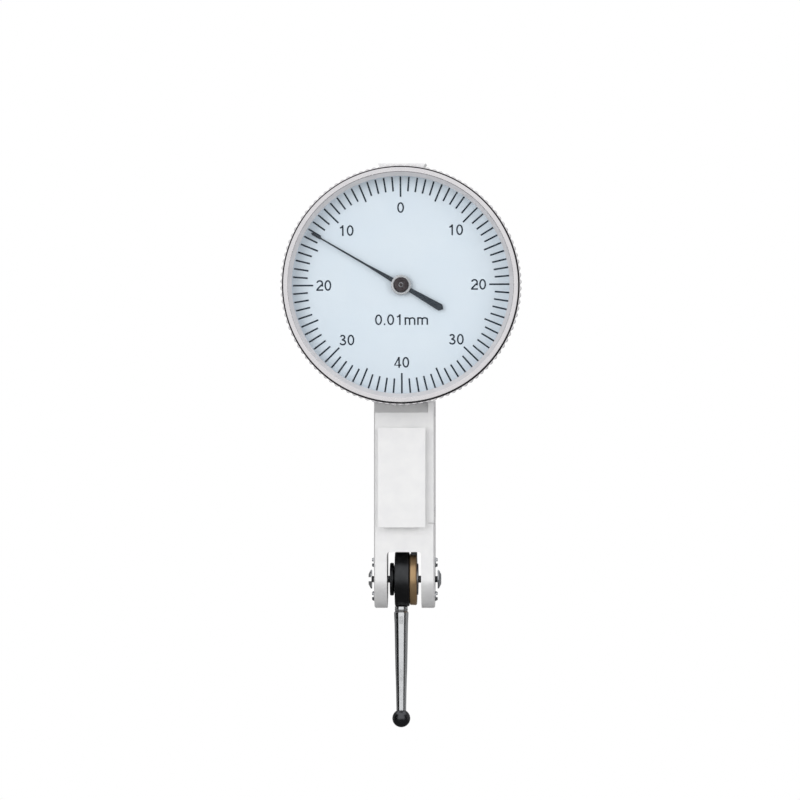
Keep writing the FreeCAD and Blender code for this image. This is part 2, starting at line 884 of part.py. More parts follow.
def lock_screws():
    """Four small round-headed screws that pinch the prongs on the pivot screws."""
    rim = lock_head_height / 3
    profile = [
        (0, 0),
        (lock_head, 0),
        (lock_head, rim),
        (lock_head - rim, lock_head_height),
        (0, lock_head_height),
    ]
    head = revolve(profile, V(0, 0, 0), Z, X)
    slot = slot_across(lock_slot_width, lock_slot_depth, lock_head_height, lock_head)
    shank_length = lock_depth - seat_gap
    shank = pin(lock_shank, V(0, 0, -shank_length), Z * shank_length)
    screw = fused([head.cut(slot), shank])
    faces = ((V(-neck_left, 0, 0), X * -1), (V(neck_far_right, 0, 0), X))
    return Part.makeCompound(
        [
            placed(screw, face + V(0, 0, pivot_z + side * lock_offset), axis, 90.0)
            for face, axis in faces
            for side in (-1, 1)
        ]
    )


def stop_pins():
    """Two pins in the neck's left wall that end the lever's swing."""
    left = -neck_left + channel_wall - stop_pin_sunk
    return Part.makeCompound(
        [
            pin_x(stop_pin_radius, left, hub_right, side * stop_pin_y, pivot_z + stop_pin_height)
            for side in (-1, 1)
        ]
    )


# ---------------------------------------------------------------- movement
def plate_screw_places():
    """Places of the movement plate's screws, on its front face."""
    radius = plate_radius - plate_screw_inset
    return [
        polar_y(radius, (k + 0.5) * 2 * math.pi / plate_screw_count, plate_front)
        for k in range(plate_screw_count)
    ]


def movement_plate():
    """The round plate behind the dial that carries the pointer's front jewel."""
    radius = small_shank + fit_gap
    stud = stud_place()
    holes = [
        pin_y(jewel_radius, plate_front, plate_back),
        pin_y(stud_radius, plate_front, plate_back, stud.x, stud.z),
        *[pin_y(radius, plate_front, plate_back, p.x, p.z) for p in plate_screw_places()],
    ]
    return rod_y(plate_radius, plate_front, plate_back).cut(holes)


def plate_screws():
    """The screws that hold the movement plate on the case's ledge."""
    screw = small_screw(plate_thickness + plate_screw_depth)
    places = plate_screw_places()
    return Part.makeCompound([placed(screw, p, Y * -1, slot_spin * k) for k, p in enumerate(places)])


def jewel(radius, bore, start, along):
    """A ring of ruby with a round bore."""
    return pin(radius, start, along).cut(Part.makeCylinder(bore, along.Length, start, along))


def front_jewel():
    """Carries the pointer arbor in the movement plate."""
    return jewel(jewel_radius, pointer_arbor_radius + fit_gap, V(0, plate_front, dial_z), Y * plate_thickness)


def rear_jewel():
    """Carries the pointer arbor's inner end in the left cock's arm."""
    length = arm_bridge_front - arm_bridge_back
    start = V(0, -arm_bridge_front, dial_z)
    return jewel(rear_jewel_radius, pointer_arbor_radius + fit_gap, start, Y * length)


def side_jewel(side):
    """Carries one end of the crown arbor."""
    start = V(side * cock_distance, 0, dial_z)
    return jewel(jewel_radius, crown_arbor_radius + fit_gap, start, X * side * cock_thickness)


def cock_screw_x():
    """Distance of a cock's screw from the dial's axis."""
    return cock_distance + cock_thickness + (cock_foot_length - cock_thickness) / 2


def cock(side):
    """An L-shaped bracket on the case's back wall with a jewel hole. side is -1 or 1."""
    inner, outer = sorted((side * cock_distance, side * (cock_distance + cock_thickness)))
    foot_inner, foot_outer = sorted((side * cock_distance, side * (cock_distance + cock_foot_length)))
    front = -arm_bridge_front if side < 0 else -cock_front
    low, high = dial_z - cock_half_height, dial_z + cock_half_height
    pieces = [
        block(inner, outer, front, cavity_back, low, high),
        block(foot_inner, foot_outer, cavity_back - cock_foot_thickness, cavity_back, low, high),
    ]
    holes = [
        pin_x(jewel_radius, inner, outer, 0.0, dial_z),
        pin_y(small_shank + fit_gap, 0.0, cavity_back, side * cock_screw_x()),
    ]
    if side < 0:
        pieces.append(
            block(
                inner,
                arm_bridge_reach,
                -arm_bridge_front,
                -arm_bridge_back,
                dial_z - arm_bridge_half,
                dial_z + arm_bridge_half,
            )
        )
        holes.append(pin_y(rear_jewel_radius, -arm_bridge_front, -arm_bridge_back))
    return fused(pieces).cut(holes)


def cock_screws():
    """One screw through the foot of each cock."""
    screw = small_screw(cock_foot_thickness + cock_screw_depth - seat_gap)
    face = cavity_back - cock_foot_thickness
    return Part.makeCompound(
        [placed(screw, V(side * cock_screw_x(), face, dial_z), Y * -1, slot_spin * side) for side in (-1, 1)]
    )


def crown_wheel():
    """The contrate wheel: a spoked disc whose teeth stand on its left face, towards the pointer."""
    inner = crown_radius - crown_face / 2
    outer = crown_radius + crown_face / 2
    web_left = crown_back_x - crown_web
    rim = tube_x(outer, inner, crown_root_x, crown_back_x, 0.0, dial_z)
    hub = rod_x(crown_collet_radius, web_left, crown_back_x, 0.0, dial_z)
    spokes = []
    for k in range(crown_spokes):
        bar = block(
            web_left,
            crown_back_x,
            -crown_spoke_half,
            crown_spoke_half,
            dial_z,
            dial_z + crown_radius,
        )
        spokes.append(turned(bar, 360.0 * (k + 0.5) / crown_spokes, DIAL_AXIS, X))
    teeth = [
        crown_tooth(k, inner + crown_tooth_inset, outer - crown_tooth_inset)
        for k in range(crown_count)
    ]
    wheel = fused([rim, hub, *spokes, *teeth])
    return wheel.cut(rod_x(crown_arbor_radius, web_left - tool_run, crown_back_x + tool_run, 0.0, dial_z))


def crown_tooth(index, inner, outer):
    """One crown tooth: a straight-sided rack tooth along the wheel's radius."""
    slope = math.tan(math.radians(pressure_angle))
    half_pitch = math.pi * crown_module / 4 - backlash / 2
    tip_half = half_pitch - tooth_addendum * crown_module * slope
    root_half = half_pitch + tooth_dedendum * crown_module * slope
    sunk = crown_root_x + crown_rim / 4
    profile = [
        V(crown_tip_x, -inner, dial_z - tip_half),
        V(crown_tip_x, -inner, dial_z + tip_half),
        V(crown_root_x, -inner, dial_z + root_half),
        V(sunk, -inner, dial_z + root_half),
        V(sunk, -inner, dial_z - root_half),
        V(crown_root_x, -inner, dial_z - root_half),
    ]
    tooth = prism(profile, V(0, inner - outer, 0))
    return turned(tooth, 360.0 * (index + 0.5) / crown_count, DIAL_AXIS, X)


def crown_arbor():
    """The crown wheel's shaft, cut with the pinion that the sector drives."""
    end = cock_distance + cock_thickness
    shaft = rod_x(crown_arbor_radius, -end, end, 0.0, dial_z)
    down = lambda radius, angle: V(pinion_left, radius * math.sin(angle), dial_z - radius * math.cos(angle))
    pinion = spur_wheel(sector_module, pinion_count, down, V(pinion_width, 0, 0))
    return fused([shaft, pinion])


def crown_collet():
    """The bush that the crown wheel is riveted on."""
    left = crown_back_x - crown_web - crown_collet_length
    return tube_x(crown_collet_radius, crown_arbor_radius, left, crown_back_x - crown_web, 0.0, dial_z)


def pointer_arbor():
    """The pointer's shaft, cut with the pinion that the crown wheel drives."""
    shaft = rod_y(pointer_arbor_radius, cap_front + cap_height / 2, -arm_bridge_back - seat_gap)
    front = -(crown_radius + pointer_pinion_width / 2)
    right = lambda radius, angle: V(radius * math.cos(angle), front, dial_z + radius * math.sin(angle))
    pinion = spur_wheel(crown_module, pointer_count, right, V(0, pointer_pinion_width, 0))
    return fused([shaft, pinion])


def hairspring_collet():
    """Holds the inner end of the hairspring on the pointer arbor."""
    return tube_y(
        collet_radius,
        pointer_arbor_radius,
        hairspring_y - collet_length / 2,
        hairspring_y + collet_length / 2,
    )


def hairspring_arcs(start_radius, front):
    """A flat spiral as half-turn arcs about two centres half a pitch apart, from the inside out."""
    edges = []
    radius = start_radius
    for k in range(2 * hairspring_turns):
        side = 1 if k % 2 == 0 else -1
        step = hairspring_pitch / 4
        middle = side * step
        edges.append(
            arc(
                V(middle - side * (radius + step), front, dial_z),
                V(middle, front, dial_z + side * (radius + step)),
                V(middle + side * (radius + step), front, dial_z),
            )
        )
        radius += hairspring_pitch / 2
    return edges


def hairspring():
    """The flat spiral that takes up the train's play and brings the pointer back."""
    front = hairspring_y - hairspring_height / 2
    inside = hairspring_arcs(collet_radius + fit_gap, front)
    outside = hairspring_arcs(collet_radius + fit_gap + hairspring_strip, front)
    ends = [
        line(inside[0].Vertexes[0].Point, outside[0].Vertexes[0].Point),
        line(inside[-1].Vertexes[-1].Point, outside[-1].Vertexes[-1].Point),
    ]
    wire = Part.Wire(Part.__sortEdges__([*inside, *outside, *ends]))
    return Part.Face(wire).extrude(V(0, hairspring_height, 0))


def stud_place():
    """Where the hairspring's outer end is pinned, on the movement plate."""
    last = hairspring_arcs(collet_radius + fit_gap + hairspring_strip, 0.0)[-1]
    end = max((vertex.Point.x for vertex in last.Vertexes), key=abs)
    side = math.copysign(1, end)
    return V(end + side * (stud_radius + fit_gap), 0, dial_z)


def hairspring_stud():
    """The pin in the movement plate that holds the hairspring's outer end."""
    place = stud_place()
    return pin_y(stud_radius, plate_front, hairspring_y + hairspring_height, place.x, place.z)


# ---------------------------------------------------------------- pointer
def pointer():
    """The hand: a thin needle with a wide end, and a flared, pointed tail, round a riveted eye."""
    blade_foot = pointer_tip - pointer_tip_point - pointer_blade
    half = [
        (0, pointer_tip),
        (pointer_blade_half, pointer_tip - pointer_tip_point),
        (pointer_blade_half, blade_foot),
        (pointer_needle_half, blade_foot - pointer_neck),
        (pointer_waist_half, pointer_waist),
        (pointer_root_half, bush_radius),
        (pointer_tail_root_half, -bush_radius),
        (pointer_tail_half, -pointer_tail),
        (0, -pointer_tail - pointer_tail_point),
    ]
    outline = half + [(-x, z) for x, z in reversed(half[1:-1])]
    blade = prism([V(x, pointer_front, dial_z + z) for x, z in outline], V(0, pointer_thickness, 0))
    eye = rod_y(bush_flange - fit_gap, pointer_front, pointer_back)
    hand = fused([blade, eye]).cut(rod_y(bush_radius, pointer_front - tool_run, pointer_back + tool_run))
    return turned(hand, -pointer_angle)


def pointer_bush():
    """The bright bush that the hand is riveted on, with a flange in front of it."""
    tube = tube_y(bush_radius, pointer_arbor_radius, pointer_front, dial_front)
    flange = tube_y(bush_flange, pointer_arbor_radius, bush_front, pointer_front)
    return fused([tube, flange])


def pointer_cap():
    """The dark boss in front of the flange."""
    return revolve_y(
        [
            (cap_bore, cap_front),
            (cap_radius - cap_round, cap_front),
            (cap_radius, cap_front + cap_round),
            (cap_radius, bush_front),
            (pointer_arbor_radius, bush_front),
            (pointer_arbor_radius, cap_front + cap_height / 2),
            (cap_bore, cap_front + cap_height / 2),
        ]
    )


# ---------------------------------------------------------------- lever
def pivot_axle():
    """The axle, with a flange at its right end and a 60 degree centre in each end."""
    centre = V(0, 0, pivot_z)
    return revolve(
        [
            (point_radius, nut_left),
            (axle_radius, nut_left),
            (axle_radius, hub_right),
            (axle_flange_radius, hub_right),
            (axle_flange_radius, flange_right),
            (point_radius, flange_right),
            (0, flange_right - point_depth),
            (0, nut_left + point_depth),
        ],
        centre,
        X,
        Z,
    )


def edged_disc(radius, left, right, edge):
    """A disc across the pivot with both edges broken."""
    profile = [
        (0, left),
        (radius - edge, left),
        (radius, left + edge),
        (radius, right - edge),
        (radius - edge, right),
        (0, right),
    ]
    return revolve(profile, V(0, 0, pivot_z), X, Z)


def lever_hub():
    """The brass disc at the lever's foot, notched for the arm."""
    notch = block(
        arm_left,
        hub_right + tool_run,
        -arm_foot_half,
        arm_foot_half,
        pivot_z + arm_foot,
        pivot_z + hub_radius + tool_run,
    )
    disc = edged_disc(hub_radius, hub_left, hub_right, hub_edge)
    return disc.cut([notch, rod_x(axle_radius, hub_left - tool_run, hub_right + tool_run)])


def arm_half(height):
    """Half the arm's width at a height above the pivot."""
    share = (height - arm_foot) / (arm_top - arm_foot)
    return arm_foot_half + (arm_top_half - arm_foot_half) * share


def lever_arm():
    """The tapered arm from the hub up to the sector."""
    rim = math.sqrt(hub_radius**2 - arm_foot_half**2)
    outline = [
        (-arm_foot_half, arm_foot),
        (-arm_half(rim), rim),
        (-arm_top_half, arm_top),
        (arm_top_half, arm_top),
        (arm_half(rim), rim),
        (arm_foot_half, arm_foot),
    ]
    arm = prism([V(arm_left, y, pivot_z + h) for y, h in outline], V(arm_thickness, 0, 0))
    holes = [pin_x(rivet_radius, arm_left, hub_right, 0.0, pivot_z + h) for h in rivet_heights]
    return arm.cut(holes)


def sector():
    """The toothed sector riveted to the arm's right side. A gap between teeth faces the pinion."""
    pitch = 2 * math.pi / sector_count
    root = sector_radius - tooth_dedendum * sector_module
    half = flank_half_angle(sector_module, sector_count, root)
    up = lambda radius, angle: V(hub_right, radius * math.sin(angle), pivot_z + radius * math.cos(angle))
    first = -(sector_teeth - 1) / 2 * pitch
    edges = []
    for k in range(sector_teeth):
        angle = first + k * pitch
        edges += tooth_edges(sector_module, sector_count, angle, up)
        if k < sector_teeth - 1:
            edges.append(line(up(root, angle + half), up(root, angle + pitch - half)))
    edge_angle = -first + half
    margin = sector_margin / sector_radius
    right = [
        up(root, edge_angle),
        up(root, edge_angle + margin),
        V(hub_right, sector_stem_half, pivot_z + sector_shoulder),
        V(hub_right, sector_stem_half, pivot_z + sector_foot),
    ]
    left = [V(p.x, -p.y, p.z) for p in reversed(right)]
    corners = [*right, *left]
    edges += [line(a, b) for a, b in zip(corners, corners[1:])]
    plate = Part.Face(Part.Wire(Part.__sortEdges__(edges))).extrude(V(sector_thickness, 0, 0))
    face = hub_right + sector_thickness
    holes = [pin_x(rivet_radius, hub_right, face, 0.0, pivot_z + h) for h in rivet_heights]
    return plate.cut(holes)


def sector_rivets():
    """Two rivets through the arm and the sector."""
    face = hub_right + sector_thickness
    rivets = []
    for h in rivet_heights:
        shank = pin_x(rivet_radius, arm_left, face, 0.0, pivot_z + h)
        head = pin_x(rivet_head, face, face + rivet_head_height, 0.0, pivot_z + h)
        rivets.append(fused([shank, head]))
    return Part.makeCompound(rivets)


def friction_nut():
    """The round nut, with two spanner flats, that presses the washer on the holder."""
    nut = edged_disc(nut_radius, nut_left, nut_right, barrel_edge)
    flats = [
        block(
            nut_left - tool_run,
            nut_left + nut_thickness / 2,
            side * nut_radius - nut_flat,
            side * nut_radius + nut_flat,
            pivot_z - nut_radius,
            pivot_z + nut_radius,
        )
        for side in (-1, 1)
    ]
    return nut.cut([*flats, rod_x(axle_radius, nut_left - tool_run, nut_right + tool_run)])


# ---------------------------------------------------------------- stylus
def friction_washer():
    """The dished spring washer between the nut and the holder."""
    inner = axle_radius + seat_gap
    rise = washer_gap - washer_thickness
    return revolve(
        [
            (inner, nut_right),
            (washer_radius, nut_right + rise),
            (washer_radius, nut_right + rise + washer_thickness),
            (inner, nut_right + washer_thickness),
        ],
        V(0, 0, pivot_z),
        X,
        Z,
    )


def stylus_holder():
    """The black barrel that grips the stylus and turns stiffly on the axle."""
    barrel = edged_disc(barrel_radius, -barrel_left, barrel_right, barrel_edge)
    bore = rod_x(axle_radius + fit_gap, -barrel_left - tool_run, barrel_right + tool_run)
    socket = Part.makeCylinder(
        stylus_thread + fit_gap, barrel_radius, V(stylus_x, 0, pivot_z - barrel_radius - stylus_thread_top), Z
    )
    return barrel.cut([bore, socket])


def stylus():
    """The turned rod: thread, collar, shoulder and long taper, flat at its end for the ball."""
    rod_end = stylus_length - ball_seat
    thread_end = stylus_thread_top + seat_gap
    return revolve(
        [
            (0, -thread_end),
            (stylus_thread, -thread_end),
            (stylus_thread, -barrel_radius),
            (stylus_collar, -barrel_radius),
            (stylus_collar, -stylus_collar_end),
            (stylus_shoulder, -stylus_shoulder_end),
            (stylus_body, -stylus_body_end),
            (stylus_tip_radius, -rod_end),
            (0, -rod_end),
        ],
        V(stylus_x, 0, pivot_z),
        Z,
        X,
    )


def contact_ball():
    """The carbide ball that touches the work, with a small flat where it is brazed on the rod."""
    flat = math.degrees(math.asin(ball_seat / ball_radius))
    return Part.makeSphere(ball_radius, V(stylus_x, 0, pivot_z - stylus_length), Z, -90, flat, 360)


# ---------------------------------------------------------------- every node
NODES = {
    "housing": housing,
    "side_cover": side_cover,
    "cover_screws": cover_screws,
    "left_pivot_screw": lambda: pivot_screw(-1),
    "right_pivot_screw": lambda: pivot_screw(1),
    "lock_screws": lock_screws,
    "stop_pins": stop_pins,
    "bezel_spring": bezel_spring,
    "movement_plate": movement_plate,
    "plate_screws": plate_screws,
    "left_cock": lambda: cock(-1),
    "right_cock": lambda: cock(1),
    "cock_screws": cock_screws,
    "front_jewel": front_jewel,
    "rear_jewel": rear_jewel,
    "left_jewel": lambda: side_jewel(-1),
    "right_jewel": lambda: side_jewel(1),
    "hairspring": hairspring,
    "hairspring_stud": hairspring_stud,
    "bezel": bezel,
    "crystal": crystal,
    "spacer_ring": spacer_ring,
    "dial": dial,
    "dial_retainer": dial_retainer,
    "pointer_arbor": pointer_arbor,
    "hairspring_collet": hairspring_collet,
    "pointer": pointer,
    "pointer_bush": pointer_bush,
    "pointer_cap": pointer_cap,
    "crown_wheel": crown_wheel,
    "crown_arbor": crown_arbor,
    "crown_collet": crown_collet,
    "pivot_axle": pivot_axle,
    "lever_hub": lever_hub,
    "lever_arm": lever_arm,
    "sector": sector,
    "sector_rivets": sector_rivets,
    "friction_nut": friction_nut,
    "friction_washer": friction_washer,
    "stylus_holder": stylus_holder,
    "stylus": stylus,
    "contact_ball": contact_ball,
}

os.makedirs("parts", exist_ok=True)
for name, make in NODES.items():
    shape = make()
    shape.exportStep(f"parts/{name}.step")
    print(f"{name:18s} solids {len(shape.Solids)} valid {shape.isValid()} volume {shape.Volume:9.3f}")
print(f"train ratio {train_ratio:.4f}, stylus length {stylus_length:.3f}, pivot z {pivot_z:.3f}")
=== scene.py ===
# %% [markdown]
# # Dressing a dial test indicator
# A dial test indicator is a small lever gauge. A ball on a hinged stylus touches the work, and a
# pointer on a round dial shows how far it moved, to a hundredth of a millimetre. The solids come
# from CAD and can't be moved. Blender gives them what a drawing can't: rolled edges, lathe marks,
# a printed dial and the light of a studio. Loading the frame first means that every later place
# can be read from it instead of being guessed.

# %% Load the fixed frame
import math

import bmesh
import bpy
import numpy as np
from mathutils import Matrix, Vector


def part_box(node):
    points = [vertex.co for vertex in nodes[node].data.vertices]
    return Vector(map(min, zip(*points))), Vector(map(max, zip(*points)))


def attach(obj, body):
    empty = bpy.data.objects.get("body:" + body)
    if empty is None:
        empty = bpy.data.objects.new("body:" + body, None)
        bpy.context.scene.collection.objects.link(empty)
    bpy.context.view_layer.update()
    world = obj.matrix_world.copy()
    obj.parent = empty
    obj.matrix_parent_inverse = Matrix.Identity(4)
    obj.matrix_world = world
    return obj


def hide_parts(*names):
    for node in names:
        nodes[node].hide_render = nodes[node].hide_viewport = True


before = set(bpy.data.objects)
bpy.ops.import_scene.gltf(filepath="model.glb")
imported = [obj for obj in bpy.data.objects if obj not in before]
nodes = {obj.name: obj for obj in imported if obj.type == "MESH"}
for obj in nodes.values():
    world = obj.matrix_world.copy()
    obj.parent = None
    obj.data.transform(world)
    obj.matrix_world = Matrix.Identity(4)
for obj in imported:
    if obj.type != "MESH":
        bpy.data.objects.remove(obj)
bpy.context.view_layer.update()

# %% [markdown]
# ## Where the two axes are
# Everything round on this gauge is turned about one of three lines: the dial's axis, the pivot
# that the lever and stylus swing on, and the stylus's own middle line. The crystal is a plain disc
# about the first, the holder a plain disc about the second, and the ball marks the third. Their
# boxes give the places, so the lines follow the CAD if it is built again.

# %% Read the axes from the boxes
MM = 0.001


def middle(node):
    """The centre of a node's box: the mean of its two corners."""
    return np.mean([np.array(corner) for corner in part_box(node)], axis=0)


def half_size(node):
    """Half of a node's box along X, Y and Z: half the difference of its two corners."""
    low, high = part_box(node)
    return (np.array(high) - np.array(low)) / 2


def front_of(node):
    """The lowest Y of a node, which is its front."""
    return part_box(node)[0][1]


def back_of(node):
    """The highest Y of a node, which is its back."""
    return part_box(node)[1][1]


dial_centre = middle("crystal") * np.array([1, 0, 1])
pivot_centre = middle("stylus_holder") * np.array([0, 0, 1])
stylus_centre = middle("contact_ball") * np.array([1, 1, 0])
print("dial axis z", round(dial_centre[2] / MM, 3), "pivot z", round(pivot_centre[2] / MM, 3))

# %% [markdown]
# ## Putting a surface into Blender
# A surface here is an array of points and an array of faces. Blender takes both in one call, and
# the object stays at the origin, unturned, with its place in its points, because the exporter puts
# every object there. One function does the paperwork for each piece: the body that it rides on,
# the finish slot that it belongs to and the plain solid that it stands for.

# %% Make a piece of the gauge
PIECES = []


def add_piece(name, mesh, body, material, stands_for=()):
    """Links a mesh as one smooth piece that rides on a body and stands for CAD nodes."""
    piece = bpy.data.objects.new(name, mesh)
    bpy.context.collection.objects.link(piece)
    mesh.materials.clear()
    mesh.materials.append(material)
    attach(piece, body)
    if stands_for:
        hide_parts(*stands_for)
    PIECES.append(name)
    return piece


def mesh_from(name, points, faces):
    """A smooth-shaded mesh from an (n, 3) array of points in metres and a list of faces."""
    mesh = bpy.data.meshes.new(name)
    mesh.from_pydata(np.asarray(points, dtype=float).tolist(), [], faces)
    mesh.shade_smooth()
    mesh.update()
    return mesh


def face_middles(mesh):
    """The middle of each face, as an (n, 3) array in metres."""
    middles = np.empty(3 * len(mesh.polygons))
    mesh.polygons.foreach_get("center", middles)
    return middles.reshape(-1, 3)


def give_faces(mesh, chosen, material):
    """Gives a further material to the chosen faces of a mesh, and returns how many they are."""
    indices = np.empty(len(mesh.polygons), dtype=np.int32)
    mesh.polygons.foreach_get("material_index", indices)
    mesh.materials.append(material)
    indices[chosen] = len(mesh.materials) - 1
    mesh.polygons.foreach_set("material_index", indices)
    return int(chosen.sum())


# %% [markdown]
# ## Turning on a lathe
# Most pieces came off a lathe, so one function turns a profile into a solid. The profile is a list
# of (radius, place along the axis) in millimetres, and a full turn of it is a grid: one row for
# each profile point, one column for each step of the angle. A row of radius nought is a pole. All
# its points are one point, so the end is closed by a fan of triangles.

# %% Turn a profile
AXES = {
    "dial": (np.array([1, 0, 0]), np.array([0, 0, 1]), np.array([0, 1, 0])),
    "pivot": (np.array([0, 1, 0]), np.array([0, 0, 1]), np.array([-1, 0, 0])),
    "stylus": (np.array([1, 0, 0]), np.array([0, 1, 0]), np.array([0, 0, -1])),
}
CENTRES = {"dial": dial_centre, "pivot": pivot_centre, "stylus": stylus_centre}


def turn(name, profile, axis, columns=192, outline=None):
    """A turned mesh: point(row, a) = centre + r(row) * (cos a * u + sin a * v) + s(row) * w.

    outline(a) may give a largest radius for each angle, which cuts notches in the rim.
    """
    u, v, w = AXES[axis]
    profile = np.asarray(profile, dtype=float)
    ring = profile[profile[:, 0] > 0]
    angle = np.arange(columns) * 2 * math.pi / columns
    radius = np.repeat(ring[:, :1], columns, axis=1)
    if outline is not None:
        radius = np.minimum(radius, outline(angle)[None, :])
    round_part = np.cos(angle)[:, None] * u + np.sin(angle)[:, None] * v
    grid = CENTRES[axis] + MM * (radius[..., None] * round_part + ring[:, 1, None, None] * w)
    points = grid.reshape(-1, 3)
    rows = len(ring)
    closed_on_itself = len(ring) == len(profile)
    row = np.arange(rows if closed_on_itself else rows - 1)[:, None] * columns
    below = (row + columns) % (rows * columns)
    here = np.arange(columns)[None, :]
    beside = (here + 1) % columns
    faces = np.stack([row + here, below + here, below + beside, row + beside], axis=-1)
    faces = faces.reshape(-1, 4).tolist()
    if not closed_on_itself:
        ends = CENTRES[axis] + MM * profile[[0, -1], 1][:, None] * w
        points = np.vstack([points, ends])
        first, last = rows * columns, (rows - 1) * columns
        top = np.stack([np.full(columns, first), here[0], beside[0]], axis=-1)
        foot = np.stack([np.full(columns, first + 1), last + beside[0], last + here[0]], axis=-1)
        faces += top.tolist() + foot.tolist()
    return facing_out(mesh_from(name, points, faces))


def facing_out(mesh):
    """Points the faces outwards: a closed surface with a negative volume is turned inside out."""
    work = bmesh.new()
    work.from_mesh(mesh)
    if work.calc_volume(signed=True) < 0:
        bmesh.ops.reverse_faces(work, faces=work.faces)
    work.to_mesh(mesh)
    work.free()
    return mesh


# %% [markdown]
# ## No edge is sharp
# A machined edge is broken by a file or a tumbling drum, and the thin highlight that runs along it
# is what makes metal look solid. Each corner of a profile becomes a short curve: a quadratic
# Bezier from a point just before the corner to one just after it. A further point on each side
# keeps the flats shaded flat.

# %% Roll the corners of a profile
def rolled(profile, roll, steps=4, ends_on_axis=True):
    """The profile with each corner C replaced by (1-t)^2 A + 2t(1-t) C + t^2 B.

    A and B lie on the two sides at the distance roll from the corner, or 0.3 of a shorter side.
    """
    corners = np.asarray(profile, dtype=float)
    before = np.roll(corners, 1, axis=0)
    after = np.roll(corners, -1, axis=0)
    t = np.linspace(0, 1, steps + 1)[None, :, None]

    def toward(other):
        side = other - corners
        length = np.linalg.norm(side, axis=1, keepdims=True)
        step = np.minimum(roll, 0.3 * length)
        return side / np.maximum(length, 1e-9) * step

    back, ahead = toward(before), toward(after)
    a, b, c = (corners + back)[:, None], (corners + ahead)[:, None], corners[:, None]
    curve = (1 - t) ** 2 * a + 2 * t * (1 - t) * c + t**2 * b
    support_a = (corners + 1.5 * back)[:, None]
    support_b = (corners + 1.5 * ahead)[:, None]
    rows = np.concatenate([support_a, curve, support_b], axis=1)
    if ends_on_axis:
        return np.vstack([corners[:1], rows[1:-1].reshape(-1, 2), corners[-1:]])
    return rows.reshape(-1, 2)


print("lathe ready, axes", sorted(AXES))

# %% [markdown]
# ## One recipe for metal
# Metal is not grey paint. It is a mirror whose surface is too rough to show a clear picture, and
# what tells chrome from brass or blackened steel is the colour of its reflection, how rough it is
# and what the tool left on it. The recipe has all three: a slow drift of tone, a drift of roughness
# and a fine relief. The relief is either even grain, as blasting leaves, or rings about an axis,
# as a lathe leaves. It reads Object coordinates, which are metres here.

# %% Wire up a finish
MATERIALS = {}
PATCHES = 500


def shade(red, green, blue):
    """A colour written as 0 to 255 on a screen, turned into the linear light that shaders use."""
    screen = np.array([red, green, blue]) / 255
    light = np.where(screen <= 0.04045, screen / 12.92, ((screen + 0.055) / 1.055) ** 2.4)
    return (*light.tolist(), 1.0)


def new_material(name):
    """An empty node material with its shader and output, and the coordinates that patterns use."""
    material = bpy.data.materials.new(name)
    material.use_nodes = True
    tree = material.node_tree
    shader = tree.nodes["Principled BSDF"]
    place = tree.nodes.new("ShaderNodeTexCoord").outputs["Object"]
    MATERIALS[name] = material
    return material, tree, shader, place


def noise(tree, place, scale, detail=2.0, stretch=(1, 1, 1)):
    """Soft noise with so many bumps to the metre, stretched along the axes."""
    mapping = tree.nodes.new("ShaderNodeMapping")
    mapping.inputs["Scale"].default_value = stretch
    texture = tree.nodes.new("ShaderNodeTexNoise")
    texture.inputs["Scale"].default_value = scale
    texture.inputs["Detail"].default_value = detail
    tree.links.new(place, mapping.inputs["Vector"])
    tree.links.new(mapping.outputs["Vector"], texture.inputs["Vector"])
    return texture.outputs["Fac"]


def rings(tree, place, axis, scale):
    """Noise that depends only on the distance from an axis, as a lathe leaves on a flat face."""
    u, v, w = AXES[axis]
    mapping = tree.nodes.new("ShaderNodeMapping")
    mapping.inputs["Location"].default_value = -CENTRES[axis] * (1 - np.abs(w))
    mapping.inputs["Scale"].default_value = 1 - np.abs(w)
    length = tree.nodes.new("ShaderNodeVectorMath")
    length.operation = "LENGTH"
    texture = tree.nodes.new("ShaderNodeTexNoise")
    texture.noise_dimensions = "1D"
    texture.inputs["Scale"].default_value = scale
    tree.links.new(place, mapping.inputs["Vector"])
    tree.links.new(mapping.outputs["Vector"], length.inputs[0])
    tree.links.new(length.outputs["Value"], texture.inputs["W"])
    return texture.outputs["Fac"]


def spread(tree, fac, low, high):
    """A Map Range that sends the middle of the noise, 0.3 to 0.7, to low and high."""
    node = tree.nodes.new("ShaderNodeMapRange")
    node.inputs["From Min"].default_value = 0.3
    node.inputs["From Max"].default_value = 0.7
    node.inputs["To Min"].default_value = low
    node.inputs["To Max"].default_value = high
    tree.links.new(fac, node.inputs["Value"])
    return node.outputs["Result"]


def two_tones(tree, fac, one, other):
    """A Mix of two colours by a factor."""
    node = tree.nodes.new("ShaderNodeMix")
    node.data_type = "RGBA"
    node.inputs["A"].default_value = one
    node.inputs["B"].default_value = other
    tree.links.new(fac, node.inputs["Factor"])
    return node.outputs["Result"]


def relief(tree, shader, height, depth, strength=1.0):
    """Bends the shading normal by a height, in metres from lowest to highest."""
    bump = tree.nodes.new("ShaderNodeBump")
    bump.inputs["Strength"].default_value = strength
    bump.inputs["Distance"].default_value = depth
    tree.links.new(height, bump.inputs["Height"])
    tree.links.new(bump.outputs["Normal"], shader.inputs["Normal"])
    return bump


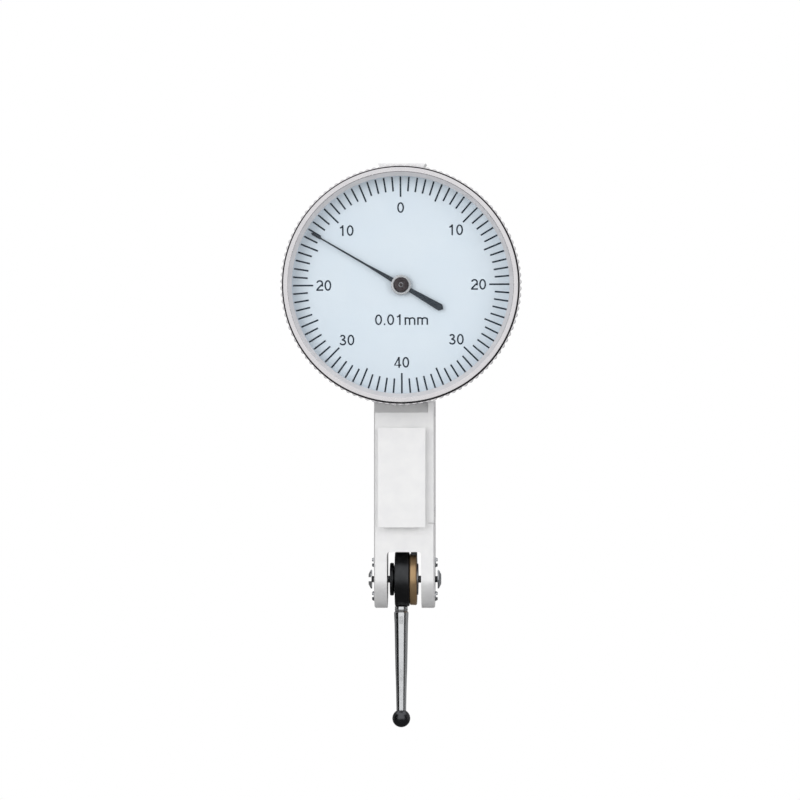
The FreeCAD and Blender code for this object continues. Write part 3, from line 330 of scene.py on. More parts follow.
def metal(
    name, tone, dark_tone, rough, drift=0.05, grain=9000, depth=0.4e-6, lathe=None, purity=1.0
):
    """A metal: tone drifting to dark_tone, roughness rough +- drift, and a relief depth in metres.

    A purity under 1 lets some paint-like light through, as a blasted or tarnished skin does.
    """
    material, tree, shader, place = new_material(name)
    shader.inputs["Metallic"].default_value = purity
    drifting = spread(tree, noise(tree, place, PATCHES), 0.0, 1.0)
    tree.links.new(two_tones(tree, drifting, tone, dark_tone), shader.inputs["Base Color"])
    fine = noise(tree, place, grain / 3)
    tree.links.new(spread(tree, fine, rough - drift, rough + drift), shader.inputs["Roughness"])
    height = rings(tree, place, lathe, grain) if lathe else noise(tree, place, grain)
    relief(tree, shader, height, depth)
    return material


print("recipes ready")

# %% [markdown]
# ## The metals of this gauge
# The case and its cover are matt chrome, blasted before plating, so they are almost white. The
# bezel is turned and left brighter. Its slope down to the dial is satin, and the slope's darker
# grey is painted shade on it. The stylus is polished, and the little screws are bright. The holder,
# the nut and the pivot screws' necks are blackened steel. The lever's hub is brass.

# %% Mix the metals
case_finish = metal(
    "matt_chrome",
    shade(247, 247, 247),
    shade(242, 242, 243),
    0.46,
    grain=7000,
    depth=1.0e-6,
    purity=0.6,
)
bezel_finish = metal(
    "turned_chrome",
    shade(225, 223, 225),
    shade(221, 219, 222),
    0.26,
    drift=0.02,
    lathe="dial",
    depth=0.12e-6,
)
# The slope's rougher satin skin is its own. Its grey, darker and less metallic than the bezel's, is
# painted shade on the inner slope.
slope_satin_and_shade = metal(
    "satin_slope_painted_shade",
    shade(206, 205, 208),
    shade(198, 197, 200),
    0.55,
    lathe="dial",
    grain=7000,
    depth=0.2e-6,
    purity=0.3,
)
stylus_finish = metal(
    "polished_chrome",
    shade(222, 224, 226),
    shade(212, 214, 216),
    0.14,
    drift=0.02,
    grain=12000,
    depth=0.04e-6,
)
screw_finish = metal(
    "bright_steel", shade(205, 207, 210), shade(176, 180, 184), 0.26, grain=12000
)
tool_steel_finish = metal(
    "ground_steel", shade(170, 172, 176), shade(148, 150, 154), 0.34, grain=14000
)
black_finish = metal(
    "blackened_steel",
    shade(73, 74, 76),
    shade(60, 61, 63),
    0.38,
    drift=0.08,
    grain=11000,
    depth=0.8e-6,
)
brass_finish = metal(
    "turned_brass",
    shade(190, 160, 122),
    shade(176, 146, 108),
    0.38,
    lathe="pivot",
    grain=8000,
    depth=0.6e-6,
    purity=0.85,
)
plate_finish = metal("brushed_brass", shade(208, 176, 116), shade(190, 156, 98), 0.36)
spring_finish = metal(
    "blued_spring", shade(66, 84, 132), shade(48, 62, 104), 0.22, drift=0.04, grain=14000
)
ball_finish = metal(
    "polished_carbide",
    shade(92, 93, 96),
    shade(78, 79, 82),
    0.27,
    drift=0.03,
    grain=14000,
    depth=0.1e-6,
)
print("metals", len(MATERIALS))

# %% [markdown]
# ## Paint, ink, glass and ruby
# The dial is lacquer with a very slightly blue white, and the ink on it is a dark slate. Neither is
# metal, and both are almost smooth. The crystal must let light through to the dial, so it is made
# mostly transparent and keeps only a little gloss. The bearing stones are synthetic ruby.

# %% Mix the rest
def coat(name, tone, other_tone, rough, grain=3000, depth=0.5e-6, gloss=0.4):
    """A paint or lacquer: two near tones in soft patches, a smooth skin and a faint orange peel."""
    material, tree, shader, place = new_material(name)
    shader.inputs["Specular IOR Level"].default_value = gloss
    drifting = spread(tree, noise(tree, place, 220, detail=3.0), 0.0, 1.0)
    tree.links.new(two_tones(tree, drifting, tone, other_tone), shader.inputs["Base Color"])
    peel = noise(tree, place, grain)
    tree.links.new(spread(tree, peel, rough - 0.05, rough + 0.05), shader.inputs["Roughness"])
    relief(tree, shader, peel, depth)
    return material


dial_finish = coat("dial_lacquer", shade(203, 213, 221), shade(200, 211, 220), 0.50, gloss=0.2)
ink_finish = coat("slate_ink", shade(24, 38, 52), shade(18, 32, 46), 0.60, gloss=0.1)
spacer_finish = coat("spacer_enamel", shade(214, 218, 224), shade(204, 209, 216), 0.45)
pointer_finish = coat("pointer_lacquer", shade(26, 36, 46), shade(20, 30, 40), 0.35, gloss=0.3)
cap_finish = metal(
    "cap_steel",
    shade(74, 64, 66),
    shade(56, 48, 50),
    0.34,
    lathe="dial",
    grain=12000,
    depth=1.0e-6,
)
# The moat's dark grey is painted shade: it stands for the shade deep in the narrow groove.
moat_painted_shade = coat("groove_shadow", shade(70, 68, 72), shade(58, 56, 60), 0.55, gloss=0.2)


def clear_crystal():
    """Acrylic: a smooth, faintly scratched skin. A low alpha lets the light through."""
    material, tree, shader, place = new_material("clear_crystal")
    shader.inputs["Base Color"].default_value = shade(150, 156, 160)
    shader.inputs["Alpha"].default_value = 0.03
    scratches = noise(tree, place, 1800, stretch=(1, 1, 0.05))
    tree.links.new(spread(tree, scratches, 0.02, 0.06), shader.inputs["Roughness"])
    relief(tree, shader, scratches, 0.1e-6)
    return material


def ruby():
    """Synthetic ruby: deep red, glassy, with light passing into it."""
    material, tree, shader, place = new_material("ruby")
    cloud = noise(tree, place, 2500)
    tone = two_tones(tree, spread(tree, cloud, 0.0, 1.0), shade(190, 24, 52), shade(150, 12, 38))
    tree.links.new(tone, shader.inputs["Base Color"])
    tree.links.new(spread(tree, cloud, 0.04, 0.12), shader.inputs["Roughness"])
    shader.inputs["Transmission Weight"].default_value = 0.35
    shader.inputs["IOR"].default_value = 1.76
    return material


crystal_finish = clear_crystal()
ruby_finish = ruby()
print("materials", len(MATERIALS))

# %% [markdown]
# ## The bezel
# The bezel is the ring that the user turns to set zero, so its edge is cut with straight grooves
# like the edge of a coin. In front stands a smooth ring, and a narrow groove parts the two. Its
# inside slopes down to the window. Turned as one grid, the coin edge costs one formula: a largest
# radius for each angle, which dips once per groove.

# %% Turn the bezel
RIM = half_size("bezel")[0] / MM
GROOVES = 110
GROOVE_DEPTH = 0.19
COLUMNS_PER_GROOVE = 12

# Steps in from the coin edge: the moat's two walls, the flat's inner edge, the window, the back.
MOAT_OUTER, MOAT_INNER, FLAT_INNER, WINDOW, BACK_STEP = 0.23, 0.39, 0.98, 1.54, 0.70
MOAT_DEPTH = 0.75
SLOPE_DEPTH = 0.62
BEZEL_ROLL = 0.05


def coin_edge(angle):
    """radius(a) = rim - depth * ((1 + cos(n a)) / 2) ^ 1.5, a rounded dip n times round."""
    return RIM - GROOVE_DEPTH * ((1 + np.cos(GROOVES * angle)) / 2) ** 1.5


front, back = front_of("bezel") / MM, back_of("bezel") / MM
rim_front = front + 1.15
rim_back = back - 0.25
moat_floor = rim_front + MOAT_DEPTH
glass_front = front_of("crystal") / MM
bore = half_size("crystal")[0] / MM + 0.05
spring = middle("bezel_spring")[1] / MM
spring_half = 0.20
bezel_profile = [
    (RIM - FLAT_INNER, front),
    (RIM - MOAT_INNER, front),
    (RIM - MOAT_INNER, moat_floor),
    (RIM - MOAT_OUTER, moat_floor),
    (RIM - MOAT_OUTER, rim_front),
    (RIM, rim_front),
    (RIM, rim_back),
    (RIM - BACK_STEP, rim_back),
    (RIM - BACK_STEP, back),
    (bore, back),
    (bore, spring + spring_half),
    (bore + spring_half, spring + spring_half),
    (bore + spring_half, spring - spring_half),
    (bore, spring - spring_half),
    (bore, glass_front),
    (RIM - WINDOW, glass_front),
    (RIM - WINDOW, front + SLOPE_DEPTH),
]
bezel_mesh = turn(
    "bezel",
    rolled(bezel_profile, BEZEL_ROLL, ends_on_axis=False),
    "dial",
    columns=GROOVES * COLUMNS_PER_GROOVE,
    outline=coin_edge,
)
add_piece("bezel_ring", bezel_mesh, "bezel", bezel_finish, ["bezel"])

places = face_middles(bezel_mesh) - dial_centre
inward = RIM - np.hypot(places[:, 0], places[:, 2]) / MM
deep = places[:, 1] / MM
in_moat = (inward > MOAT_OUTER - 0.01) & (inward < MOAT_INNER + 0.01)
in_moat &= (deep > rim_front + 0.1) & (deep < moat_floor + BEZEL_ROLL)
on_slope = (inward > FLAT_INNER + 0.03) & (inward < WINDOW - 0.01) & (deep < front + SLOPE_DEPTH)
# The moat's faces take the dark grey that paints the shade in the deep, narrow groove.
print("moat faces", give_faces(bezel_mesh, in_moat, moat_painted_shade))
# The slope's faces take the darker grey that paints the shade on the bezel's inner slope.
print("slope faces", give_faces(bezel_mesh, on_slope, slope_satin_and_shade))
print("bezel", len(bezel_mesh.polygons), "faces")

# %% [markdown]
# ## Crystal and spacer
# The crystal drops in from behind and rests on the bezel's lip. A thin ring behind it keeps the
# dial at its distance, and its pale wall is what closes the view round the dial's edge.

# %% Turn the crystal and the spacer
glass_back = back_of("crystal") / MM
glass_radius = half_size("crystal")[0] / MM
crystal_profile = [
    (0, glass_front),
    (glass_radius, glass_front),
    (glass_radius, glass_back),
    (0, glass_back),
]
crystal_mesh = turn("crystal", rolled(crystal_profile, 0.12), "dial")
add_piece("crystal_disc", crystal_mesh, "bezel", crystal_finish, ["crystal"])

SPACER_WALL = 0.30
spacer_back = back_of("spacer_ring") / MM
spacer_profile = [
    (glass_radius - SPACER_WALL, glass_back),
    (glass_radius, glass_back),
    (glass_radius, spacer_back),
    (glass_radius - SPACER_WALL, spacer_back),
]
spacer_mesh = turn("spacer", rolled(spacer_profile, 0.06, ends_on_axis=False), "dial")
add_piece("spacer_wall", spacer_mesh, "bezel", spacer_finish, ["spacer_ring"])
print("crystal and spacer turned")

# %% [markdown]
# ## The print on the dial
# Eighty lines stand round the dial, one for each hundredth of a millimetre. Every tenth is long
# and every fifth is middling, so that the eye can count. A line is a thin ribbon, and all eighty
# are one array: the corners of one ribbon, turned by eighty angles.

# %% Print the lines
DIVISIONS = 80
PRINT_OUTER = 14.42
LINE_LENGTHS = {"long": 2.70, "middling": 2.45, "short": 1.94}
LINE_WIDTH = 0.22
PRINT_RISE = 0.02
dial_face = front_of("dial") / MM
dial_turn = math.radians(-0.4)


def on_dial(x, z, rise=PRINT_RISE):
    """Places of (x, z), in millimetres from the dial's middle, just in front of its face."""
    x, z = np.asarray(x, dtype=float), np.asarray(z, dtype=float)
    across = x * math.cos(dial_turn) + z * math.sin(dial_turn)
    up = z * math.cos(dial_turn) - x * math.sin(dial_turn)
    flat = np.stack([across, np.full_like(across, dial_face - rise), up], axis=-1)
    return dial_centre + MM * flat


def thicken(piece, depth):
    """Gives a flat print a body with the Solidify modifier, grown towards the dial."""
    solid = piece.modifiers.new("thickness", "SOLIDIFY")
    solid.thickness = depth * MM
    solid.offset = -1.0
    return piece


index = np.arange(DIVISIONS)
length = np.where(index % 5 == 0, LINE_LENGTHS["middling"], LINE_LENGTHS["short"])
length = np.where(index % 10 == 0, LINE_LENGTHS["long"], length)
angle = index * 2 * math.pi / DIVISIONS
side = np.array([1, -1, -1, 1]) * LINE_WIDTH / 2
radius = np.stack([np.full(DIVISIONS, PRINT_OUTER)] * 2 + [PRINT_OUTER - length] * 2, axis=-1)
line_x = radius * np.sin(angle)[:, None] + side * np.cos(angle)[:, None]
line_z = radius * np.cos(angle)[:, None] - side * np.sin(angle)[:, None]
line_faces = np.arange(4 * DIVISIONS).reshape(-1, 4).tolist()
line_mesh = mesh_from("dial_lines", on_dial(line_x, line_z).reshape(-1, 3), line_faces)
thicken(add_piece("dial_lines", line_mesh, "bezel", ink_finish), PRINT_RISE / 2)
print("lines", len(line_faces))

# %% [markdown]
# ## Figures drawn with one pen
# The figures on such a dial are plain and of one stroke width. So each one is a few pen strokes:
# straight runs and arcs, in a box one unit high. A stroke becomes a ribbon when its middle line is
# pushed half a pen width to each side. The normal of a line is its direction turned a quarter.

# %% Describe the strokes
FIGURE_HEIGHT = 1.43
PEN = 0.20
PEN_SHARE = PEN / FIGURE_HEIGHT


def sweep(cx, cz, rx, rz, start, end, steps=18):
    """An arc (cx + rx sin a, cz + rz cos a), with a in degrees clockwise from the top."""
    a = np.radians(np.linspace(start, end, steps))
    return np.stack([cx + rx * np.sin(a), cz + rz * np.cos(a)], axis=-1)


def run(*corners):
    """Straight lines through the corners."""
    return np.array(corners, dtype=float)


def joined(*parts):
    """One stroke made of several parts that follow each other."""
    return np.vstack(parts)


h = PEN_SHARE / 2
LEFT, RIGHT, HALF = h, 0.62 - h, 0.31
GLYPHS = {
    "0": (0.62, [sweep(HALF, 0.5, HALF - h, 0.5 - h, 0, 360, 40)]),
    "1": (
        0.62,
        [joined(run((0.12, 0.76)), sweep(0.12, 1.02, 0.26, 0.26, 170, 95, 8), run((0.38, 0.0)))],
    ),
    "2": (
        0.62,
        [
            joined(
                sweep(HALF, 0.71, HALF - h, 0.29 - h, -80, 105, 22),
                sweep(HALF + 0.05, 0.06, HALF - h, 0.55, 52, -58, 10)[:3],
                run((LEFT + 0.02, 0.16), (LEFT, h)),
            ),
            run((LEFT - h, h), (RIGHT + h, h)),
        ],
    ),
    "3": (
        0.62,
        [
            sweep(HALF - 0.01, 0.75, 0.25 - h, 0.25 - h, -75, 180, 22),
            sweep(HALF, 0.275, HALF - h, 0.275 - h, 0, 255, 24),
            run((0.22, 0.525), (HALF, 0.525)),
        ],
    ),
    "4": (0.62, [run((0.63, 0.235), (0.03, 0.235), (0.44, 0.965)), run((0.44, 1.0), (0.44, 0.0))]),
    ".": (0.20, [run((0.10, 0.0), (0.10, PEN_SHARE * 1.1))]),
    "m": (
        0.98,
        [
            run((0.05 + h, 0.0), (0.05 + h, 0.72)),
            joined(sweep(0.285, 0.50, 0.205, 0.22 - h, -80, 90, 14), run((0.49, 0.0))),
            joined(sweep(0.71, 0.50, 0.22, 0.22 - h, -85, 90, 14), run((0.93, 0.0))),
        ],
    ),
}
SPACING = 0.115
print("figures", "".join(GLYPHS))

# %% [markdown]
# ## Writing with the strokes
# A word is laid out from left to right and then centred on its place. The figures stay upright all
# round the dial, so only their places turn. The same scale runs both ways from nought, because the
# pointer can go either way.

# %% Write the figures
def ribbon(stroke, width):
    """Two points for each point p of a stroke: p + n w / 2 and p - n w / 2, with n its normal."""
    ahead = np.gradient(stroke, axis=0)
    ahead = ahead / np.maximum(np.linalg.norm(ahead, axis=1, keepdims=True), 1e-9)
    normal = np.stack([-ahead[:, 1], ahead[:, 0]], axis=-1)
    aside = normal * width / 2
    return np.stack([stroke + aside, stroke - aside], axis=1).reshape(-1, 2)


def word(text, x, z, height, squeeze=1.0):
    """Ribbons of the strokes of a word whose middle is at (x, z), in millimetres."""
    widths = [GLYPHS[letter][0] for letter in text]
    starts = np.cumsum([0] + [width + SPACING for width in widths])
    whole = starts[-1] - SPACING
    strips = []
    for letter, start in zip(text, starts):
        for stroke in GLYPHS[letter][1]:
            place = (stroke + np.array([start - whole / 2, -0.5])) * height * np.array([squeeze, 1])
            strips.append(ribbon(place, PEN) + np.array([x, z]))
    return strips


NUMERAL_RADIUS = 10.30
numerals = ["0", "10", "20", "30", "40", "30", "20", "10"]
strips = []
for place, text in enumerate(numerals):
    turn_by = place * 2 * math.pi / len(numerals)
    x, z = NUMERAL_RADIUS * math.sin(turn_by), NUMERAL_RADIUS * math.cos(turn_by)
    strips += word(text, x, z, FIGURE_HEIGHT, squeeze=1.03)
strips += word("0.01mm", 0.0, -4.62, FIGURE_HEIGHT, squeeze=1.07)

figure_points, figure_faces, count = [], [], 0
for strip in strips:
    start = count + 2 * np.arange(len(strip) // 2 - 1)[:, None]
    figure_faces += (start + np.array([0, 1, 3, 2])).tolist()
    figure_points.append(strip)
    count += len(strip)
figure_points = np.vstack(figure_points)
printed = on_dial(figure_points[:, 0], figure_points[:, 1])
figure_mesh = mesh_from("dial_figures", printed, figure_faces)
thicken(add_piece("dial_figures", figure_mesh, "bezel", ink_finish), PRINT_RISE / 2)
print("figure ribbons", len(strips))

# %% [markdown]
# ## The pointer's cap and bush
# The pointer is pressed on its arbor by a bright bush, and a small dark cap hides the joint. Both
# are turned, and the cap's front has a shallow dish. A bright ring and a dot in it lead the eye to
# the middle of the dial.

# %% Turn the cap and the bush
cap_front, cap_back = front_of("pointer_cap") / MM, back_of("pointer_cap") / MM
cap_radius = half_size("pointer_cap")[0] / MM
cap_profile = [
    (0, cap_front + 0.06),
    (0.20, cap_front + 0.10),
    (0.27, cap_front + 0.02),
    (0.36, cap_front + 0.08),
    (cap_radius - 0.16, cap_front + 0.02),
    (cap_radius, cap_front + 0.14),
    (cap_radius, cap_back),
    (0, cap_back),
]
cap_mesh = turn("cap", rolled(cap_profile, 0.05), "dial", columns=96)
add_piece("cap_button", cap_mesh, "pointer", cap_finish, ["pointer_cap"])
DOT, RING_INNER, RING_OUTER = 0.07, 0.22, 0.31
places = face_middles(cap_mesh) - dial_centre
from_axis = np.hypot(places[:, 0], places[:, 2]) / MM
bright = (from_axis < DOT) | ((from_axis > RING_INNER) & (from_axis < RING_OUTER))
print("cap, bright faces", give_faces(cap_mesh, bright, screw_finish))

bush_front, bush_back = front_of("pointer_bush") / MM, back_of("pointer_bush") / MM
bush_radius = half_size("pointer_bush")[0] / MM
BUSH_FLANGE, BUSH_STEM = 0.14, 0.50
bush_profile = [
    (0, bush_front),
    (bush_radius, bush_front),
    (bush_radius, bush_front + BUSH_FLANGE),
    (BUSH_STEM, bush_front + BUSH_FLANGE),
    (BUSH_STEM, bush_back),
    (0, bush_back),
]
bush_mesh = turn("bush", rolled(bush_profile, 0.05), "dial", columns=96)
add_piece("bush_flange", bush_mesh, "pointer", screw_finish, ["pointer_bush"])
print("cap and bush turned")

# %% [markdown]
# ## The stylus and its ball
# The stylus is the part that is handled and looked at most. It is a turned rod with a collar, a
# shoulder that the spanner turns, and a long taper down to the ball. Its radii are read off at a
# few places along it and the corners are rolled, so light slides along it in one clean line.

# %% Turn the stylus and the ball
pivot_height = pivot_centre[2] / MM
BALL = half_size("contact_ball")[0] / MM
ball_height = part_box("contact_ball")[0][2] / MM + BALL
CENTRES["stylus"] = stylus_centre + np.array([0, 0, pivot_centre[2]])
reach = pivot_height - ball_height
thread_end = pivot_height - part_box("stylus")[1][2] / MM
holder = half_size("stylus_holder")[1] / MM
THREAD = 0.55
rod_end = reach - BALL * 0.84
stylus_profile = [
    (0, thread_end),
    (THREAD, thread_end),
    (THREAD, holder),
    (0.86, holder),
    (0.86, 4.02),
    (0.90, 4.10),
    (0.82, 4.26),
    (0.97, 4.44),
    (0.96, 4.90),
    (0.905, 6.00),
    (0.875, 7.50),
    (0.84, 9.60),
    (0.79, 12.0),
    (0.735, 13.6),
    (0.695, 15.2),
    (0.65, rod_end),
    (0, rod_end),
]
stylus_mesh = turn("stylus", rolled(stylus_profile, 0.06), "stylus", columns=96)
add_piece("stylus_rod", stylus_mesh, "stylus", stylus_finish, ["stylus"])

arc = np.linspace(0, math.pi, 49)
ball_profile = np.stack([BALL * np.sin(arc), reach - BALL * np.cos(arc)], axis=-1)
ball_profile[[0, -1], 0] = 0
ball_mesh = turn("ball", ball_profile, "stylus", columns=96)
add_piece("ball", ball_mesh, "stylus", ball_finish, ["contact_ball"])
print("stylus reach", round(reach, 3), "ball radius", round(BALL, 3))

# %% [markdown]
# ## Rolling the edges of milled pieces
# The case, its neck and the fork are milled, with pockets and holes that no grid of two
# parameters describes. Here a copy of the CAD solid is the honest start. Its loose triangles are
# merged and flat faces joined, and then the Bevel modifier rolls every edge that turns by more than
# thirty degrees. Weighted normals let the largest face at a corner win, so the flats stay flat.

# %% Roll the edges of a copy
def milled(node, name, body, material, edge, segments=2):
    """A merged copy of a node with its edges rolled to a radius in millimetres."""
    mesh = nodes[node].data.copy()
    mesh.name = name
    work = bmesh.new()
    work.from_mesh(mesh)
    bmesh.ops.remove_doubles(work, verts=work.verts, dist=1e-7)
    bmesh.ops.dissolve_limit(
        work,
        angle_limit=math.radians(0.5),
        verts=work.verts,
        edges=work.edges,
        use_dissolve_boundaries=False,
    )
    work.to_mesh(mesh)
    work.free()
    mesh.shade_smooth()
    piece = add_piece(name, mesh, body, material, [node])
    bevel = piece.modifiers.new("rolled_edge", "BEVEL")
    bevel.width = edge * MM
    bevel.segments = segments
    bevel.limit_method = "ANGLE"
    bevel.angle_limit = math.radians(30)
    bevel.miter_outer = "MITER_ARC"
    flats = piece.modifiers.new("flat_faces", "WEIGHTED_NORMAL")
    flats.mode = "FACE_AREA"
    flats.weight = 100
    return piece


milled("housing", "case_and_neck", "case", case_finish, 0.06)
milled("side_cover", "cover_plate", "case", case_finish, 0.05)
milled("lock_screws", "lock_screw_heads", "case", screw_finish, 0.04)
milled("cover_screws", "cover_screw_heads", "case", screw_finish, 0.02)
milled("stylus_holder", "holder_barrel", "stylus", black_finish, 0.05)
milled("friction_nut", "nut", "lever", black_finish, 0.05)
milled("lever_hub", "hub_disc", "lever", brass_finish, 0.05)
milled("pointer", "pointer_blade", "pointer", pointer_finish, 0.025)
print("pieces", len(PIECES))

# %% [markdown]
# ## Necks of the pivot screws
# Only the heads of the two pivot screws are bright. The necks between head and prong were left
# black, so these faces get the black finish. They are the ones that lie near the pivot axis and
# near the screw's outer end.

# %% Blacken the necks
NECK_LARGEST, NECK_SMALLEST = 0.60, 0.20
NECK_START, NECK_END = 0.35, 2.5
for side in ("left", "right"):
    screw = milled(f"{side}_pivot_screw", f"{side}_pivot", "case", screw_finish, 0.05)
    places = face_middles(screw.data) - pivot_centre
    off_axis = np.hypot(places[:, 1], places[:, 2]) / MM
    along = np.abs(places[:, 0])
    from_end = (along.max() - along) / MM
    on_neck = (off_axis > NECK_SMALLEST) & (off_axis < NECK_LARGEST)
    on_neck &= (from_end > NECK_START) & (from_end < NECK_END)
    print(side, "pivot screw, black faces", give_faces(screw.data, on_neck, black_finish))

# %% [markdown]
# ## Finishes for the pieces that stay
# The movement is closed inside the case, yet whoever opens the model finds it finished: brushed
# brass plates and cocks, ground steel arbors, a blued hairspring and ruby bearings. These solids
# keep their shapes, so only the material in each slot changes.

# %% Dress the remaining nodes
DRESSED = [
    (plate_finish, ["movement_plate", "left_cock", "right_cock", "hairspring_stud", "crown_wheel"]),
    (plate_finish, ["hairspring_collet", "crown_collet", "dial_retainer"]),
    (black_finish, ["lever_arm", "friction_washer"]),
    (tool_steel_finish, ["plate_screws", "cock_screws", "stop_pins", "pointer_arbor"]),
    (tool_steel_finish, ["crown_arbor", "sector", "sector_rivets", "pivot_axle", "bezel_spring"]),
    (spring_finish, ["hairspring"]),
    (ruby_finish, ["front_jewel", "rear_jewel", "left_jewel", "right_jewel"]),
    (dial_finish, ["dial"]),
]
for finish, names in DRESSED:
    for node in names:
        for slot in nodes[node].material_slots:
            slot.material = finish
print("dressed", sum(len(names) for finish, names in DRESSED), "nodes")

# %% [markdown]
# ## The camera
# The gauge is seen straight on, from a little to its right, through a long lens, so its sides stay
# parallel. The lens length follows from the width that has to fit: sensor times distance over
# width. Pointing the camera is one turn about Z, after it has been stood upright.

# %% Set the camera
FIELD = 107.1 * MM
DISTANCE = 1.2
AZIMUTH = math.radians(1.5)
aim = np.array([-0.345, 0.0, -31.555]) * MM
camera_data = bpy.data.cameras.new("camera")
camera_data.sensor_width = 36.0
camera_data.lens = camera_data.sensor_width * DISTANCE / FIELD
camera_data.clip_end = 20.0
camera = bpy.data.objects.new("camera", camera_data)
camera.location = aim + DISTANCE * np.array([math.sin(AZIMUTH), -math.cos(AZIMUTH), 0.0])
camera.rotation_euler = (math.radians(90), 0.0, AZIMUTH)
bpy.context.collection.objects.link(camera)
bpy.context.scene.camera = camera
print("lens", round(camera_data.lens, 1), "mm")

# %% [markdown]
# ## Light and background
# Metal shows what stands round it, so a bright room with a few darker cards models it better than
# any lamp. The world is white to the camera and to reflections, and dimmer as a source of diffuse
# light. Two large soft lamps give the form its direction.

# %% Light the studio
def lamp(name, place, size, power, target=(0, 0, -0.04)):
    """A square soft lamp that looks at the gauge."""
    data = bpy.data.lights.new(name, "AREA")
    data.shape = "SQUARE"
    data.size = size
    data.energy = power
    light = bpy.data.objects.new(name, data)
    light.location = place
    away = np.array(place) - np.array(target)
    flat = math.hypot(away[0], away[1])
    light.rotation_euler = (math.atan2(flat, away[2]), 0.0, math.atan2(away[0], -away[1]))
    light.visible_glossy = False
    bpy.context.collection.objects.link(light)
    return light


lamp("key", (-0.45, -0.85, 0.22), 0.60, 5.0)
lamp("fill", (0.65, -0.70, 0.10), 0.60, 3.0)


def seen_directly(tree):
    """A factor of 1 for camera, glossy and transmission rays, and 0 for the rest."""
    path = tree.nodes.new("ShaderNodeLightPath")
    total = path.outputs["Is Camera Ray"]
    for kind in ("Is Glossy Ray", "Is Transmission Ray"):
        add = tree.nodes.new("ShaderNodeMath")
        add.operation = "ADD"
        add.use_clamp = True
        tree.links.new(total, add.inputs[0])
        tree.links.new(path.outputs[kind], add.inputs[1])
        total = add.outputs[0]
    return total


world = bpy.data.worlds.new("studio")
world.use_nodes = True
bpy.context.scene.world = world
sky = world.node_tree
soft = sky.nodes["Background"]
white = sky.nodes.new("ShaderNodeBackground")
for background, strength in ((soft, 0.65), (white, 1.0)):
    background.inputs["Color"].default_value = (1, 1, 1, 1)
    background.inputs["Strength"].default_value = strength
blend = sky.nodes.new("ShaderNodeMixShader")
sky.links.new(seen_directly(sky), blend.inputs[0])
sky.links.new(soft.outputs[0], blend.inputs[1])
sky.links.new(white.outputs[0], blend.inputs[2])
sky.links.new(blend.outputs[0], sky.nodes["World Output"].inputs["Surface"])
print("studio lit")

# %% [markdown]
# ## The floor
# The floor is pale and keeps the gauge's shadow. Part of its light is its own, more of it further
# from the gauge, which carries the white of the background down to the foot of the picture.

# %% Lay the floor
def sheet(name, corners):
    """A flat sheet: one face through four corners."""
    mesh = bpy.data.meshes.new(name)
    mesh.from_pydata([tuple(corner) for corner in corners], [], [(0, 1, 2, 3)])
    piece = bpy.data.objects.new(name, mesh)
    bpy.context.collection.objects.link(piece)
    return piece


def level_corners(left, right, near, far, height):
    """The corners of a level rectangle, counter-clockwise as seen from above."""
    return [(left, near, height), (right, near, height), (right, far, height), (left, far, height)]


FLOOR_DROP = 0.045
HALF_FLOOR = 12.0
floor_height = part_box("contact_ball")[0][2] - FLOOR_DROP
floor_corners = level_corners(-HALF_FLOOR, HALF_FLOOR, -HALF_FLOOR, HALF_FLOOR, floor_height)
floor = sheet("floor", floor_corners)
floor_material, tree, shader, place = new_material("pale_floor")
shader.inputs["Base Color"].default_value = (0.86, 0.86, 0.86, 1)
shader.inputs["Roughness"].default_value = 0.9
own_light = tree.nodes.new("ShaderNodeEmission")
own_light.inputs["Strength"].default_value = 1.0
distance = tree.nodes.new("ShaderNodeVectorMath")
distance.operation = "LENGTH"
fade = tree.nodes.new("ShaderNodeMapRange")
for socket, value in {"From Min": 0.15, "From Max": 0.8, "To Min": 0.6, "To Max": 1.0}.items():
    fade.inputs[socket].default_value = value
share = tree.nodes.new("ShaderNodeMath")
share.operation = "MULTIPLY"
floor_mix = tree.nodes.new("ShaderNodeMixShader")
tree.links.new(place, distance.inputs[0])
tree.links.new(distance.outputs["Value"], fade.inputs["Value"])
tree.links.new(seen_directly(tree), share.inputs[0])
tree.links.new(fade.outputs["Result"], share.inputs[1])
tree.links.new(share.outputs[0], floor_mix.inputs[0])
tree.links.new(shader.outputs[0], floor_mix.inputs[1])
tree.links.new(own_light.outputs[0], floor_mix.inputs[2])
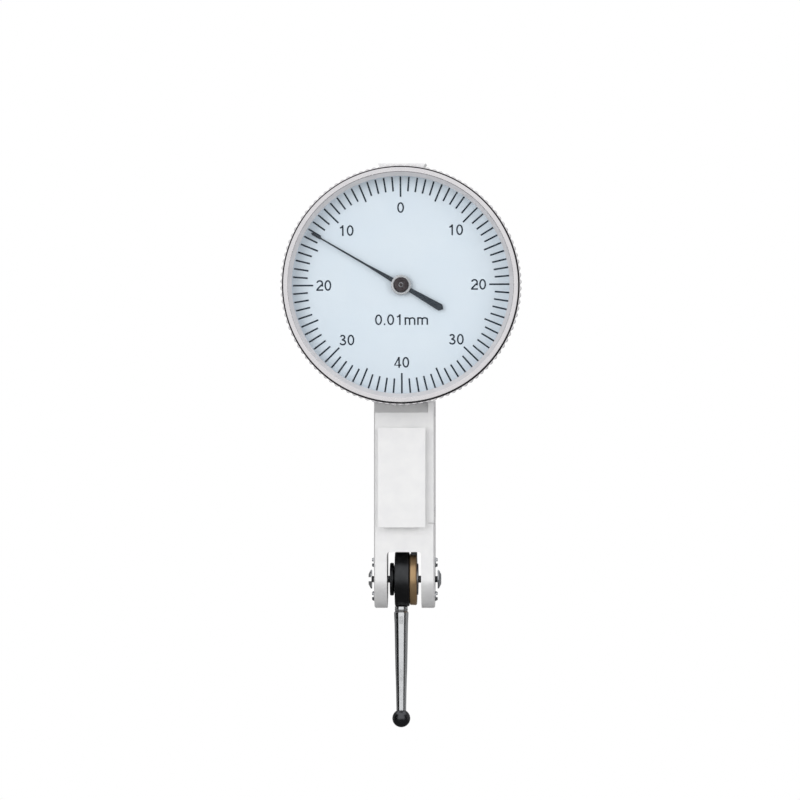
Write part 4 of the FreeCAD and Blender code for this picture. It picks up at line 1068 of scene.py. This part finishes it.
tree.links.new(floor_mix.outputs[0], tree.nodes["Material Output"].inputs["Surface"])
floor.data.materials.append(floor_material)
print("floor at", round(floor_height / MM, 2), "mm")

# %% [markdown]
# ## The cards
# A card is a plain sheet with a grey of its own that no lamp changes. Four stand round the gauge
# and one lies under it. Only reflections see them. A polished rod between two dark cards shows a
# bright line down its middle, and that line is what makes it look round.

# %% Hang the cards
CARD_DISTANCE = 0.20
CARD_TOP = 0.10
STANDING_CARDS = {
    "dark_card": (46, 96, 0.02),
    "left_grey_card": (97, 172, 0.20),
    "right_dark_card": (-45, -84, 0.09),
    "right_grey_card": (-85, -172, 0.28),
}
LYING_CARD_GREY = 0.12


def card(name, corners, grey):
    """A sheet through four corners with a grey of its own, seen by reflections only."""
    piece = sheet(name, corners)
    material = bpy.data.materials.new(name)
    material.use_nodes = True
    tree = material.node_tree
    glow = tree.nodes.new("ShaderNodeEmission")
    glow.inputs["Color"].default_value = (grey, grey, grey, 1)
    tree.links.new(glow.outputs[0], tree.nodes["Material Output"].inputs["Surface"])
    piece.data.materials.append(material)
    for kind in ("camera", "diffuse", "transmission", "volume_scatter", "shadow"):
        setattr(piece, f"visible_{kind}", False)


def standing_corners(bearings, low):
    """The corners of an upright card between two bearings, in degrees clockwise from the front."""
    a = np.radians(bearings)
    x, y = -CARD_DISTANCE * np.sin(a), -CARD_DISTANCE * np.cos(a)
    foot = [(x[0], y[0], low), (x[1], y[1], low)]
    return foot + [(x[1], y[1], CARD_TOP), (x[0], y[0], CARD_TOP)]


for name, (start, end, grey) in STANDING_CARDS.items():
    card(name, standing_corners([start, end], floor_height + 0.001), grey)
card("low_card", level_corners(-0.20, 0.20, -0.40, 0.14, floor_height + 0.002), LYING_CARD_GREY)
print("cards", len(STANDING_CARDS) + 1)

# %% [markdown]
# ## Colours as written
# The last line sets the Standard view transform, so that colours show as they are written.

# %% Set the view transform
bpy.context.scene.view_settings.view_transform = "Standard"
